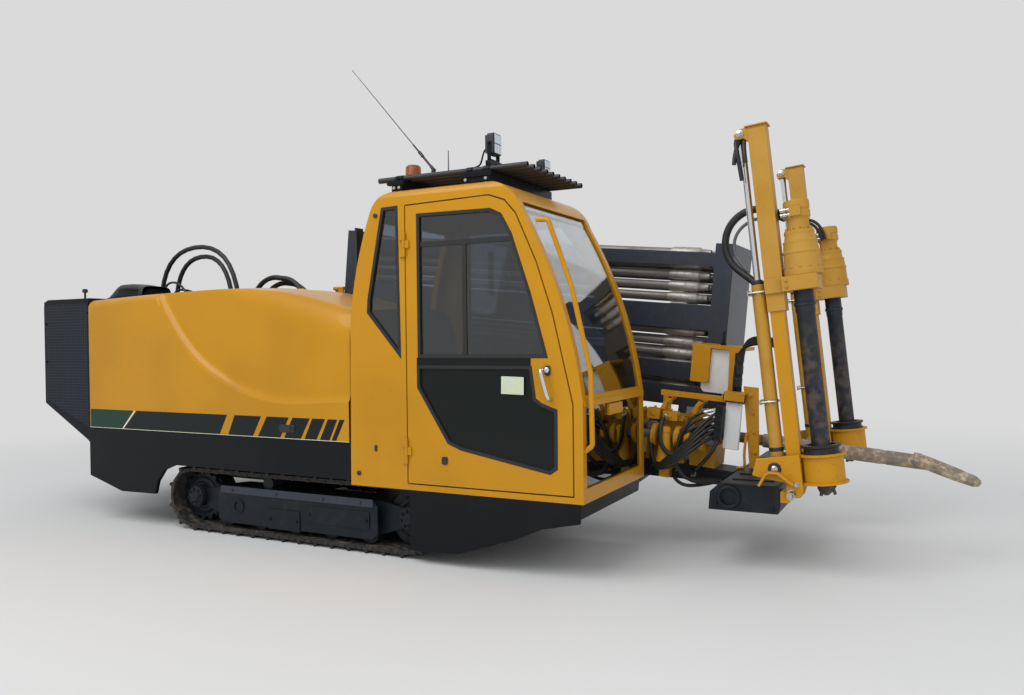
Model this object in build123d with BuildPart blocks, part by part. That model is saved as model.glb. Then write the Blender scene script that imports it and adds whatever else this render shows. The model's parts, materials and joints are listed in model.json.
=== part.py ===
from build123d import *
import math
import os

# A tracked horizontal directional drill, in millimetres.
# X points to the drilling end, Y to the machine's left side, Z up from the ground.
# The origin is on the ground, midway along the length and the width.

# Driving dimensions of the whole machine
half_length = 3269.0
half_width = 1120.0
near = -half_width
hinge_reach = 23.0
far = half_width + hinge_reach
panel = 30.0
seam = 6.0
seat_gap = 0.3

# Crawler tracks
track_rear_x = -1692.0
track_front_x = 150.0
track_pitch_radius = 200.0
track_width = 400.0
track_outer_y = half_width - 55
shoe_count = 36
shoe_plate = 14.0
grouser_height = 36.0
grouser_width = 16.0
shoe_notch = 5.0
roller_radius = 70.0
roller_count = 5
wheel_width = 120.0

# Main frame
rail_low_z = 220.0
rail_high_z = 360.0
rail_width = 120.0
rail_inner_y = 230.0
frame_front_x = 720.0
nose_top_z = 300.0
tie_down_radius = 25.0
tie_down_z = 258.0
deck_z = 490.0
deck_thickness = 16.0

# Bodywork
hood_rear_x = 569.0 - half_length
frame_rear_x = hood_rear_x + 40
hood_front_x = -225.0
hood_far_y = -80.0
hood_sill_z = 706.0
hood_rear_top_z = 1690.0
hood_crest_z = 1730.0
hood_front_top_z = 1455.0
hood_wall = 22.0
hood_edge_radius = 90.0
hood_hinge_x = (-1950.0, -1550.0, -1150.0)
hood_axis_z = 1748.0
hood_axis_y = -118.0
hood_knuckle_radius = 14.0
swoosh_depth = 42.0
cooler_front_x = hood_rear_x - 12
cooler_half_width = 1100.0
cooler_top_z = 1690.0
cooler_low_rear_z = 874.0
cooler_low_front_z = 603.0
cooler_wall = 25.0
slat_count = 14
opening_low_z = 925.0
opening_high_z = 1600.0

# Operator's cab
cab_far_y = -100.0
cab_rear_x = -216.0
cab_front_x = 1358.0
cab_sill_z = 440.0
cab_floor_z = 500.0
cab_roof_z = 2253.0
cab_wall = 45.0
glass_thickness = 8.0
door_hinge_x = 218.0
knuckle = 50.0
knuckle_radius = 11.0
hinge_pin_radius = 6.0
door_hinge_z = (600.0, 1845.0)
door_axis_x = door_hinge_x - 6
door_axis_y = near - hinge_reach + knuckle_radius
door_gap = 8.0
roof_edge_radius = 50.0

# Drill rack, tilted nose down about its pivot
rack_tilt = 5.5
pivot_x = 600.0
pivot_z = 500.0
drill_y = 200.0
drill_w = 311.0
beam_width = 240.0
beam_low_w = -120.0
beam_high_w = 100.0
beam_rear_u = -3080.0
beam_front_u = 1290.0
pin_radius = 35.0
pin_play = 0.05
rail_plate = 20.0
rail_flange = 30.0
rail_front_u = 310.0
beam_step_u = 720.0
beam_front_low_w = 22.0

# Drill string and carriage
spindle_front_u = -2250.0
carriage_front_u = -2620.0
carriage_rear_u = -3050.0
rod_radius = 33.5
tool_joint_radius = 39.5
sub_radius = 43.0
rod_length = 3050.0
housing_radius = 43.5
housing_length = 1000.0
blade_length = 326.0
blade_low_w = 264.0

# Rod box
box_near_y = 500.0
box_far_y = 1080.0
box_rear_u = -2250.0
box_front_u = 1075.0
box_beam = 40.0
rod_pitch = 80.0
rod_rows = 13
rod_columns = 4
rod_top_w = 1504.0
stored_rod_radius = 39.7
rear_column = 100.0
front_column = 130.0

# Stake-down anchors
anchor_y = (-470.0, 870.0)
mast_lean = 5.8
mast_x = 2353.0
mast_z = 690.0
tube_size = 100.0
tube_wall = 8.0
tube_low_h = 795.0
tube_high_h = 1826.0
inner_size = 78.0
inner_high_h = 1070.0
auger_f = 145.0
cylinder_f = -94.0
barrel_radius = 38.0
barrel_bore = 28.0
barrel_low_h = -60.0
barrel_high_h = 957.0
anchor_rod_radius = 19.0
anchor_rod_high_h = 1812.0
drum_radius = 109.0
drum_low_h = -155.0
drum_high_h = -15.0
drum_bore = 97.0
ring_bore = 70.0
flight_radius = 72.0
auger_pipe_radius = 50.0
auger_tip_h = -235.0
foot_front_x = 2285.0
foot_low_z = 351.0
foot_high_z = 509.0

# Tilt cylinder beside the rack
tilt_base_x = -800.0
tilt_base_z = 420.0
tilt_eye_u = -2000.0
tilt_eye_w = -40.0
tilt_lug_y = 46.0
tilt_eye_half = 30.0
tilt_cylinder_radius = 42.0
tilt_rod_radius = 25.0

tilt_sin = math.sin(math.radians(rack_tilt))
tilt_cos = math.cos(math.radians(rack_tilt))
lean_sin = math.sin(math.radians(mast_lean))
lean_cos = math.cos(math.radians(mast_lean))

os.makedirs("parts", exist_ok=True)


def save(builder, name):
    builder.part.label = name
    export_step(builder.part, f"parts/{name}.step")


# Planes: local x and y are named in each line, and the last word is the way an extrusion goes.
def side(y):
    """X and Z, towards the near side."""
    return Plane((0, y, 0), x_dir=(1, 0, 0), z_dir=(0, -1, 0))


def across(x):
    """Y and Z, towards the front."""
    return Plane((x, 0, 0), x_dir=(0, 1, 0), z_dir=(1, 0, 0))


def rack_point(u, w, y=0.0):
    return (pivot_x + u * tilt_cos + w * tilt_sin, y, pivot_z - u * tilt_sin + w * tilt_cos)


def rack_side(y):
    """u along the rack and w up from it, towards the near side."""
    return Plane(rack_point(0, 0, y), x_dir=(tilt_cos, 0, -tilt_sin), z_dir=(0, -1, 0))


def rack_top(w):
    """u and Y, upwards."""
    return Plane(rack_point(0, w), x_dir=(tilt_cos, 0, -tilt_sin), z_dir=(tilt_sin, 0, tilt_cos))


def rack_end(u):
    """Y and w, towards the front."""
    return Plane(rack_point(u, 0), x_dir=(0, 1, 0), z_dir=(tilt_cos, 0, -tilt_sin))


def mast_point(f, h, y=0.0):
    return (mast_x + f * lean_cos - h * lean_sin, y, mast_z + f * lean_sin + h * lean_cos)


def mast_side(y):
    """f forward and h up along the mast, towards the near side."""
    return Plane(mast_point(0, 0, y), x_dir=(lean_cos, 0, lean_sin), z_dir=(0, -1, 0))


def mast_up(h, y):
    """f and Y about the mast, upwards along it."""
    return Plane(mast_point(0, h, y), x_dir=(lean_cos, 0, lean_sin), z_dir=(-lean_sin, 0, lean_cos))


def outline(plane, points):
    with BuildSketch(plane) as face:
        with BuildLine():
            Polyline(*points, close=True)
        make_face()
    return face.sketch


def block(plane, x0, x1, y0, y1):
    with BuildSketch(plane) as face:
        with Locations(((x0 + x1) / 2, (y0 + y1) / 2)):
            Rectangle(abs(x1 - x0), abs(y1 - y0))
    return face.sketch


def disc(plane, x, y, radius, bore=0.0):
    with BuildSketch(plane) as face:
        with Locations((x, y)):
            Circle(radius)
            if bore:
                Circle(bore, mode=Mode.SUBTRACT)
    return face.sketch


def few_sided(plane, x, y, radius, sides):
    """A round bar with few faces, for what repeats."""
    with BuildSketch(plane) as face:
        with Locations((x, y)):
            RegularPolygon(radius, sides)
    return face.sketch


def tube_along(points, bend):
    with BuildLine() as path:
        FilletPolyline(*points, radius=bend)
    return path.line


# Track loops, with the shoes in their outline
track_length = track_front_x - track_rear_x
wheel_z = track_pitch_radius + grouser_height
loop_length = 2 * track_length + 2 * math.pi * track_pitch_radius


def loop_point(travel, rise):
    """A point at a distance round the pitch line, raised outwards from it."""
    travel = travel % loop_length
    radius = track_pitch_radius + rise
    half_turn = math.pi * track_pitch_radius
    if travel < track_length:
        return (track_rear_x + travel, wheel_z - radius)
    travel -= track_length
    if travel < half_turn:
        angle = -math.pi / 2 + travel / track_pitch_radius
        return (track_front_x + radius * math.cos(angle), wheel_z + radius * math.sin(angle))
    travel -= half_turn
    if travel < track_length:
        return (track_front_x - travel, wheel_z + radius)
    travel -= track_length
    angle = math.pi / 2 + travel / track_pitch_radius
    return (track_rear_x + radius * math.cos(angle), wheel_z + radius * math.sin(angle))


shoe_pitch = loop_length / shoe_count
shoe_points = []
for shoe in range(shoe_count):
    start = shoe * shoe_pitch
    for travel, rise in (
        (start, shoe_plate),
        (start + 0.10 * shoe_pitch, shoe_plate),
        (start + 0.13 * shoe_pitch, grouser_height),
        (start + 0.13 * shoe_pitch + grouser_width, grouser_height),
        (start + 0.16 * shoe_pitch + grouser_width, shoe_plate),
        (start + shoe_pitch - shoe_notch, shoe_plate),
        (start + shoe_pitch - shoe_notch, 0.0),
        (start + shoe_pitch, 0.0),
    ):
        shoe_points.append(loop_point(travel, rise))

inner_radius = track_pitch_radius - shoe_plate
roller_z = wheel_z - inner_radius + seat_gap + roller_radius
wheel_radius = inner_radius - seat_gap

for name, outer_y in (("near", -track_outer_y), ("far", track_outer_y)):
    toward_middle = 1 if outer_y < 0 else -1
    inner_y = outer_y + toward_middle * track_width
    low_y, high_y = min(outer_y, inner_y), max(outer_y, inner_y)
    middle_y = (low_y + high_y) / 2

    with BuildPart() as track:
        extrude(outline(side(high_y), shoe_points), amount=track_width)
        with BuildSketch(side(high_y)):
            with Locations(((track_rear_x + track_front_x) / 2, wheel_z)):
                SlotCenterToCenter(track_length, 2 * inner_radius)
        extrude(amount=track_width, mode=Mode.SUBTRACT)
    save(track, f"track_{name}")

    with BuildPart() as track_frame:
        half_wheel = wheel_width / 2
        for x in (track_rear_x, track_front_x):
            extrude(few_sided(side(middle_y + half_wheel), x, wheel_z, wheel_radius, 32), amount=wheel_width)
            extrude(few_sided(side(middle_y + 150), x, wheel_z, 78, 16), amount=300)
        for number in range(roller_count):
            x = track_rear_x + (number + 1) * track_length / (roller_count + 1)
            extrude(few_sided(side(middle_y + 150), x, roller_z, roller_radius, 16), amount=300)
        beam_outline = [
            (track_rear_x + 60, 170), (track_rear_x + 230, 110), (track_front_x - 230, 110),
            (track_front_x - 60, 170), (track_front_x - 60, 290), (track_front_x - 215, 320),
            (track_rear_x + 256, 320), (track_rear_x + 60, 290),
        ]
        extrude(outline(side(middle_y + 115), beam_outline), amount=230)
        extrude(block(side(middle_y + 165), -1200, -860, 120, 265), amount=330)
        carrier_z = wheel_z + inner_radius - seat_gap - 45
        extrude(few_sided(side(middle_y + 160), -1000, carrier_z, 45, 16), amount=320)
        extrude(block(side(middle_y + 100), -1025, -975, 300, carrier_z), amount=200)
        for x in (-1100, -250):
            start_y = -rail_inner_y if toward_middle > 0 else middle_y
            with BuildSketch(side(start_y)):
                with Locations((x, 265)):
                    Rectangle(180, 90)
            extrude(amount=abs(middle_y) - rail_inner_y)
    save(track_frame, f"track_frame_{name}")

# Main frame: two rails, cross members, deck, cab posts and the saddle under the rack's rear
ear_gap = 2.0
ear_thickness = 30.0
beam_near_y = drill_y - beam_width / 2
beam_far_y = drill_y + beam_width / 2
ear_outer_y = beam_far_y + ear_gap + ear_thickness
nose_rear_x = pivot_x - 150
inner_half_y = rail_inner_y - rail_width - seat_gap
with BuildPart() as main_frame:
    for y in (rail_inner_y, -rail_inner_y + rail_width):
        extrude(block(side(y), frame_rear_x, nose_rear_x, rail_low_z, rail_high_z), amount=rail_width)
    for x in (frame_rear_x + 60, -1900, -500):
        extrude(block(side(inner_half_y), x, x + 140, rail_low_z, rail_high_z - 30), amount=2 * inner_half_y)
    extrude(block(side(hood_far_y), frame_rear_x, hood_front_x - 20, deck_z, deck_z + deck_thickness),
            amount=hood_far_y - near - panel - seat_gap)
    for x in (hood_rear_x + 200, -1500, -700):
        extrude(block(side(-130), x, x + 80, rail_high_z + seat_gap, deck_z - seat_gap), amount=80)
    for x, foot_z in ((-120, rail_high_z), (620, nose_top_z)):
        extrude(block(side(-120), x, x + 80, foot_z + seat_gap, cab_floor_z - seat_gap), amount=100)
    saddle = [rack_point(u, beam_low_w - seat_gap)[::2] for u in (-2790, -2610)]
    saddle += [(x, rail_high_z + seat_gap) for x, z in reversed(saddle)]
    extrude(outline(side(beam_far_y - 20), saddle), amount=beam_width - 40)
save(main_frame, "main_frame")

# Front cross block with the rack's pivot ears and the tie-down eyes
with BuildPart() as frame_nose:
    extrude(block(side(ear_outer_y), nose_rear_x + seat_gap, frame_front_x, rail_low_z, nose_top_z),
            amount=ear_outer_y + rail_inner_y)
    ear = [(pivot_x - 130, nose_top_z - 1), (pivot_x + 100, nose_top_z - 1), (pivot_x + 70, pivot_z + 30),
           (pivot_x + 25, pivot_z + 62), (pivot_x - 25, pivot_z + 62), (pivot_x - 70, pivot_z + 30)]
    for y in (beam_near_y - ear_gap, ear_outer_y):
        extrude(outline(side(y), ear), amount=ear_thickness)
        extrude(disc(side(y + 1), pivot_x, pivot_z, pin_radius + pin_play), amount=ear_thickness + 2,
                mode=Mode.SUBTRACT)
    for y in (170, -140):
        lug = [(frame_front_x - 40, tie_down_z - 38), (frame_front_x + 60, tie_down_z - 38),
               (frame_front_x + 80, tie_down_z), (frame_front_x + 60, nose_top_z),
               (frame_front_x - 40, nose_top_z)]
        extrude(outline(side(y), lug), amount=30)
        extrude(disc(side(y + 1), frame_front_x + 35, tie_down_z, tie_down_radius), amount=32,
                mode=Mode.SUBTRACT)
save(frame_nose, "frame_nose")

# Cross member that carries the foot of the tilt cylinder
with BuildPart() as tilt_mount:
    extrude(block(side(inner_half_y), tilt_base_x - 60, tilt_base_x + 60, rail_low_z, rail_high_z),
            amount=2 * inner_half_y)
    tilt_lug = [(tilt_base_x - 55, rail_high_z - 20), (tilt_base_x + 55, rail_high_z - 20),
                (tilt_base_x + 40, tilt_base_z + 35), (tilt_base_x - 40, tilt_base_z + 35)]
    for y in (-47, 67):
        extrude(outline(side(y), tilt_lug), amount=20)
        extrude(disc(side(y + 1), tilt_base_x, tilt_base_z, 20 + pin_play), amount=22, mode=Mode.SUBTRACT)
save(tilt_mount, "tilt_mount")

# Black lower panels round the chassis
panel_top_z = hood_sill_z - seam
lower_rear_x = cooler_front_x + seat_gap
cover_front_x = -1725.0
arch = [(track_rear_x - 308, 246), (track_rear_x - 278, 339), (track_rear_x - 206, 427), (track_rear_x - 97, 468)]
belly = [(lower_rear_x, 338), ((lower_rear_x + arch[0][0]) / 2, 240)] + arch
lower_outline = belly + [(cab_rear_x - 4, 468), (cab_rear_x - 4, panel_top_z), (lower_rear_x, panel_top_z)]
far_outline = belly + [(cover_front_x, 468), (cover_front_x, panel_top_z), (lower_rear_x, panel_top_z)]
with BuildPart() as lower_body:
    extrude(outline(side(near + panel), lower_outline), amount=panel)
    extrude(outline(side(far), far_outline), amount=panel)
    extrude(block(side(far - panel - seat_gap), lower_rear_x, lower_rear_x + panel, 338, panel_top_z),
            amount=far - near - 2 * (panel + seat_gap))
save(lower_body, "lower_body")

# Rear far cover over the fluid tank
cover_near_y = 420.0
cover_low_z = panel_top_z + seat_gap
cover_outline = [(hood_rear_x, cover_low_z), (cover_front_x, cover_low_z), (cover_front_x - 10, 1500),
                 (cover_front_x - 65, 1600), (cover_front_x - 175, 1660), (hood_rear_x + 140, 1660),
                 (hood_rear_x + 40, 1620), (hood_rear_x, 1500)]
with BuildPart() as rear_cover:
    extrude(outline(side(far), cover_outline), amount=far - cover_near_y)
    edge = rear_cover.edges().filter_by(GeomType.LINE).filter_by(Axis.X).sort_by(Axis.Z)[-2:].sort_by(Axis.Y)[-1]
    fillet(edge, 60)
save(rear_cover, "rear_cover")

# Engine and pump, one plain block
with BuildPart() as engine_block:
    extrude(block(Plane.XY.offset(deck_z + deck_thickness), hood_rear_x + 350, -1000, near + 220,
                  hood_far_y - 120), amount=820)
save(engine_block, "engine_block")


# Hood with its sweeping recess
def hood_profile(plane, inset=0.0):
    length = hood_front_x - hood_rear_x
    rear = (hood_rear_x + 25, hood_rear_top_z)
    crest = (hood_rear_x + 0.323 * length, hood_crest_z)
    shoulder = (hood_rear_x + 0.646 * length, hood_crest_z - 12)
    slope = (hood_rear_x + 0.832 * length, hood_front_top_z + 0.618 * (hood_crest_z - hood_front_top_z))
    front = (hood_front_x, hood_front_top_z)
    with BuildSketch(plane) as face:
        with BuildLine():
            Polyline(front, (hood_front_x, hood_sill_z), (hood_rear_x, hood_sill_z), rear)
            ThreePointArc(rear, crest, shoulder)
            ThreePointArc(shoulder, slope, front)
        make_face()
        if inset:
            offset(amount=-inset)
    return face.sketch


swoosh_top_z = hood_crest_z + 70
swoosh = [(-1975, swoosh_top_z), (-1959, 1678), (-1880, 1551), (-1748, 1377), (-1577, 1215), (-1361, 1087),
          (-1114, 1000), (-875, 952), (-645, 937), (hood_front_x + 30, 950), (hood_front_x + 30, swoosh_top_z)]
swoosh_angle = math.degrees(math.atan2(swoosh_depth, hood_front_x - swoosh[1][0]))
lid_far_y = hood_far_y - hood_wall - seam
hood_width = lid_far_y - near
with BuildPart() as hood:
    extrude(hood_profile(side(lid_far_y)), amount=hood_width)
    top_edges = hood.edges().group_by(Axis.Y)[0].filter_by(GeomType.CIRCLE)
    fillet(top_edges, hood_edge_radius)
    recess = Plane((hood_front_x, near, 0), x_dir=(1, 0, 0), z_dir=(0, -1, 0)).rotated((0, swoosh_angle, 0))
    with BuildSketch(recess):
        with BuildLine():
            low = swoosh[1:-2]
            Line((swoosh[0][0] - hood_front_x, swoosh[0][1]), (low[0][0] - hood_front_x, low[0][1]))
            Spline(*[(x - hood_front_x, z) for x, z in low])
            Polyline((low[-1][0] - hood_front_x, low[-1][1]), (30, 950), (30, swoosh_top_z),
                     (swoosh[0][0] - hood_front_x, swoosh[0][1]))
        make_face()
    extrude(amount=120, mode=Mode.SUBTRACT)
    cavity_width = hood_width - hood_wall - swoosh_depth - 10
    extrude(hood_profile(side(lid_far_y), hood_wall), amount=cavity_width, mode=Mode.SUBTRACT)
    floor_cut = block(side(lid_far_y), hood_rear_x + hood_wall, hood_front_x - hood_wall,
                      hood_sill_z - 10, hood_sill_z + 60)
    extrude(floor_cut, amount=cavity_width, mode=Mode.SUBTRACT)
    for x in hood_hinge_x:
        extrude(disc(across(x + knuckle + 1), hood_axis_y, hood_axis_z, hood_knuckle_radius), amount=knuckle)
        extrude(block(across(x + knuckle + 1), hood_axis_y - hood_knuckle_radius, lid_far_y, 1700,
                      hood_axis_z), amount=knuckle)
        extrude(disc(across(x + knuckle), hood_axis_y, hood_axis_z, hinge_pin_radius + pin_play),
                amount=knuckle + 2, mode=Mode.SUBTRACT)
save(hood, "hood")

# Fixed wall on the hood's far side
with BuildPart() as hood_far_panel:
    extrude(hood_profile(side(hood_far_y), seam), amount=hood_wall)
    extrude(block(side(hood_far_y), hood_rear_x + 60, hood_front_x - 20, deck_z + deck_thickness,
                  hood_sill_z + 20), amount=hood_wall)
    for x in hood_hinge_x:
        low_z = hood_axis_z - hood_knuckle_radius
        high_z = hood_axis_z + hood_knuckle_radius
        extrude(block(across(x), hood_far_y - hood_wall, hood_far_y, 1690, high_z), amount=knuckle)
        extrude(block(across(x), hood_axis_y, hood_far_y, low_z, high_z), amount=knuckle)
        extrude(disc(across(x), hood_axis_y, hood_axis_z, hood_knuckle_radius), amount=knuckle)
        extrude(disc(across(x), hood_axis_y, hood_axis_z, hinge_pin_radius), amount=2 * knuckle + 1)
save(hood_far_panel, "hood_far_panel")

# Cooler box at the rear, its grille and its core
cooler_outline = [(cooler_front_x, 560), (cooler_front_x - 54, cooler_low_front_z), (-half_length, cooler_low_rear_z),
                  (-half_length, cooler_top_z), (cooler_front_x, cooler_top_z)]
with BuildPart() as cooler_box:
    extrude(outline(side(cooler_half_width), cooler_outline), amount=2 * cooler_half_width)
    edge = cooler_box.edges().filter_by(Axis.Y).group_by(Axis.Z)[-1].sort_by(Axis.X)[0]
    fillet(edge, 60)
    inner = [(cooler_front_x - cooler_wall, 660), (cooler_front_x - 78, 660), (89 - half_length, 890),
             (-half_length - 5, opening_low_z), (-half_length - 5, opening_high_z),
             (cooler_front_x - cooler_wall, opening_high_z)]
    extrude(outline(side(cooler_half_width - 60), inner), amount=2 * cooler_half_width - 120,
            mode=Mode.SUBTRACT)
save(cooler_box, "cooler_box")

# Hoses that arch from the cooler box to a block on the hood's far wall
with BuildPart() as rear_hoses:
    hose_block_z = 1560.0
    extrude(block(side(5), -2370, -2170, hose_block_z - 60, hose_block_z), amount=5 - hood_far_y - seat_gap)
    for y, rear_x, front_x, peak_z, bend in ((hood_far_y + 23, -3160, -2210, 2170, 380),
                                             (hood_far_y + 67, -3020, -2325, 2090, 280)):
        path = tube_along([(rear_x, y, cooler_top_z + 2), (rear_x + 25, y, peak_z),
                           (front_x - 25, y, peak_z), (front_x, y, hose_block_z + 2)], bend)
        sweep(few_sided(Plane(origin=path @ 0, z_dir=path % 0), 0, 0, 20, 8), path=path)
save(rear_hoses, "rear_hoses")

opening_half_y = cooler_half_width - 60
slat_pitch = (opening_high_z - opening_low_z) / slat_count
with BuildPart() as rear_grille:
    for number in range(slat_count):
        z = opening_low_z + number * slat_pitch
        slat = [(-half_length + 8, z + 4), (-half_length + 14, z + 4), (-half_length + 44, z + slat_pitch - 8),
                (-half_length + 38, z + slat_pitch - 8)]
        extrude(outline(side(opening_half_y), slat), amount=2 * opening_half_y)
    for y in (opening_half_y, 0, -opening_half_y + 12):
        extrude(block(side(y), -half_length + 46, -half_length + 58, opening_low_z, opening_high_z), amount=12)
        extrude(block(side(y), -half_length + 36, -half_length + 47, opening_low_z, opening_high_z), amount=12)
save(rear_grille, "rear_grille")

with BuildPart() as cooler_core:
    extrude(block(side(opening_half_y - 20), 149 - half_length, 269 - half_length, opening_low_z + 20,
                  opening_high_z), amount=2 * opening_half_y - 40)
save(cooler_core, "cooler_core")


# Cab shell
def cab_profile(plane, inset=0.0):
    with BuildSketch(plane) as face:
        with BuildLine():
            Polyline((cab_front_x, 1000), (cab_front_x, cab_sill_z), (cab_rear_x, cab_sill_z), (-205, 1430))
            ThreePointArc((-205, 1430), (-140, 1835), (-42, 2135))
            ThreePointArc((-42, 2135), (28, 2220), (125, cab_roof_z))
            Line((125, cab_roof_z), (760, cab_roof_z))
            ThreePointArc((760, cab_roof_z), (905, 2205), (1005, 2067))
            ThreePointArc((1005, 2067), (1232, 1560), (cab_front_x, 1000))
        make_face()
        if inset:
            offset(amount=-inset)
    return face.sketch


door_outline = [(door_hinge_x, 482), (door_hinge_x, 2150), (790, 2164), (890, 2128), (960, 2050),
                (1085, 1770), (1180, 1480), (1245, 1200), (1296, 985), (1296, 482)]
upper_glass = [(300, 1240), (300, 2095), (800, 2089), (870, 2055), (935, 1940), (1050, 1600), (1150, 1240)]
lower_glass = [(292, 1190), (292, 1060), (500, 735), (590, 700), (1160, 595), (1203, 625), (1205, 950),
               (1110, 985), (1075, 1010), (1050, 1190)]
quarter_glass = [(45, 2150), (160, 2154), (172, 1240), (-72, 1515), (-66, 1600)]
screen_near_y = near + 50
screen_far_y = cab_far_y - 50
screen_low_z = 1030.0
screen_high_z = 2120.0
lower_screen = [(screen_near_y, 520), (screen_far_y, 520), (screen_far_y, 968), (screen_near_y, 968)]
cab_width = cab_far_y - near


def grown(points, plane, amount):
    with BuildSketch(plane) as face:
        with BuildLine():
            Polyline(*points, close=True)
        make_face()
        offset(amount=amount)
    return face.sketch


with BuildPart() as cab_shell:
    extrude(cab_profile(side(cab_far_y)), amount=cab_width)
    with BuildSketch(across(cab_rear_x - 10)):
        with Locations(((near + cab_far_y) / 2, cab_roof_z / 2)):
            RectangleRounded(cab_width, cab_roof_z, roof_edge_radius)
    extrude(amount=cab_front_x - cab_rear_x + 20, mode=Mode.INTERSECT)
    extrude(cab_profile(side(cab_far_y - cab_wall), cab_wall), amount=cab_width - 2 * cab_wall,
            mode=Mode.SUBTRACT)
    extrude(block(side(cab_far_y + 1), cab_rear_x - 1, cab_front_x - cab_wall, cab_sill_z - 1, cab_floor_z),
            amount=cab_width - cab_wall + 1, mode=Mode.SUBTRACT)
    extrude(block(side(cab_far_y - cab_wall), cab_rear_x + cab_wall, cab_front_x - cab_wall, cab_floor_z,
                  cab_floor_z + cab_wall), amount=cab_width - 2 * cab_wall)
    extrude(grown(door_outline, side(near + 2 * cab_wall), door_gap), amount=3 * cab_wall, mode=Mode.SUBTRACT)
    extrude(outline(side(near + 2 * cab_wall), quarter_glass), amount=3 * cab_wall, mode=Mode.SUBTRACT)
    far_window = [(80, 1150), (80, 2080), (800, 2080), (900, 1950), (1080, 1500), (1130, 1150)]
    extrude(outline(side(cab_far_y + cab_wall), far_window), amount=3 * cab_wall, mode=Mode.SUBTRACT)
    extrude(block(across(cab_rear_x - 20), near + 120, cab_far_y - 120, 1480, 2080), amount=300,
            mode=Mode.SUBTRACT)
    extrude(block(across(850), screen_near_y, screen_far_y, screen_low_z, screen_high_z), amount=600,
            mode=Mode.SUBTRACT)
    extrude(outline(across(1200), lower_screen), amount=300, mode=Mode.SUBTRACT)
    for low_z in door_hinge_z:
        for z in (low_z, low_z + 2 * knuckle):
            extrude(disc(Plane.XY.offset(z), door_axis_x, door_axis_y, knuckle_radius), amount=knuckle)
            extrude(block(Plane.XY.offset(z), door_axis_x - 34, door_axis_x, door_axis_y, near),
                    amount=knuckle)
        extrude(disc(Plane.XY.offset(low_z), door_axis_x, door_axis_y, hinge_pin_radius), amount=3 * knuckle)
save(cab_shell, "cab_shell")

# Cab door, hinged at its rear edge
with BuildPart() as cab_door:
    extrude(outline(side(near + cab_wall), door_outline), amount=cab_wall)
    extrude(outline(side(near + 2 * cab_wall), upper_glass), amount=3 * cab_wall, mode=Mode.SUBTRACT)
    extrude(outline(side(near + 2 * cab_wall), lower_glass), amount=3 * cab_wall, mode=Mode.SUBTRACT)
    for low_z in door_hinge_z:
        middle = Plane.XY.offset(low_z + knuckle + 1)
        extrude(disc(middle, door_axis_x, door_axis_y, knuckle_radius), amount=knuckle - 2)
        extrude(block(middle, door_axis_x, door_axis_x + 34, door_axis_y, near), amount=knuckle - 2)
        extrude(disc(middle, door_axis_x, door_axis_y, hinge_pin_radius + pin_play), amount=knuckle - 2,
                mode=Mode.SUBTRACT)
save(cab_door, "cab_door")

with BuildPart() as door_glass:
    for points in (upper_glass, lower_glass):
        extrude(outline(side(near + 20), points), amount=glass_thickness)
save(door_glass, "door_glass")

glass_inset = 14.0
with BuildPart() as cab_glass:
    extrude(cab_profile(side(screen_far_y), glass_inset), amount=screen_far_y - screen_near_y)
    extrude(cab_profile(side(screen_far_y), glass_inset + glass_thickness), amount=screen_far_y - screen_near_y,
            mode=Mode.SUBTRACT)
    with BuildSketch(across(850)):
        with Locations(((screen_near_y + screen_far_y) / 2, (screen_low_z + screen_high_z) / 2)):
            Rectangle(screen_far_y - screen_near_y, screen_high_z - screen_low_z)
        with Locations(((screen_near_y + screen_far_y) / 2, 744)):
            Rectangle(screen_far_y - screen_near_y, 448)
    extrude(amount=600, mode=Mode.INTERSECT)
    extrude(outline(side(near + 20), quarter_glass), amount=glass_thickness)
    extrude(outline(side(cab_far_y - 12), far_window), amount=glass_thickness)
save(cab_glass, "cab_glass")

# Black skirt below the cab
skirt_wall = 18.0
skirt_top_z = cab_sill_z - seat_gap
skirt_outline = [(door_hinge_x + 4, skirt_top_z), (door_hinge_x + 4, 75), (313, 70), (563, 88), (917, 201),
                 (1100, 281), (1335, 331), (1342, skirt_top_z)]
skirt_box = [(440, skirt_top_z), (440, 160), (790, 165), (917, 215), (1100, 295), (1320, 345),
             (1330, skirt_top_z)]
skirt_nose = [(x, z) for x, z in skirt_box if x > 780] + [(frame_front_x + 110, skirt_top_z)]
frame_clear_y = -rail_inner_y - 10
with BuildPart() as cab_skirt:
    extrude(outline(side(near + skirt_wall), skirt_outline), amount=skirt_wall)
    extrude(outline(side(frame_clear_y), skirt_box), amount=frame_clear_y - near - skirt_wall)
    extrude(outline(side(cab_far_y), skirt_nose), amount=cab_far_y - frame_clear_y)
save(cab_skirt, "cab_skirt")

# Seat and consoles
seat_y = (near + cab_far_y) / 2
seat_half = 0.235 * cab_width
seat_low_z = cab_floor_z + cab_wall
with BuildPart() as seat:
    extrude(block(Plane.XY.offset(seat_low_z), 210, 520, seat_y - 150, seat_y + 150), amount=330)
    cushion = [(130, seat_low_z + 330), (640, seat_low_z + 330), (660, seat_low_z + 400),
               (620, seat_low_z + 450), (130, seat_low_z + 430)]
    extrude(outline(side(seat_y + seat_half), cushion), amount=2 * seat_half)
    back = [(130, 940), (240, 940), (225, 1150), (150, 1560), (50, 1560), (95, 1150)]
    extrude(outline(side(seat_y + seat_half - 20), back), amount=2 * seat_half - 40)
save(seat, "seat")

console_width = 0.1275 * cab_width
with BuildPart() as consoles:
    for y in (near + 0.088 * cab_width, cab_far_y - 0.245 * cab_width):
        arm_rest = [(300, 1010), (700, 1010), (760, 1060), (740, 1120), (300, 1120)]
        extrude(outline(side(y + console_width), arm_rest), amount=console_width)
        extrude(block(Plane.XY.offset(seat_low_z), 330, 420, y + 30, y + console_width - 30),
                amount=1010 - seat_low_z + 1)
        extrude(few_sided(Plane.XY.offset(1115), 690, y + console_width / 2, 16, 12), amount=150)
save(consoles, "consoles")

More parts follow.
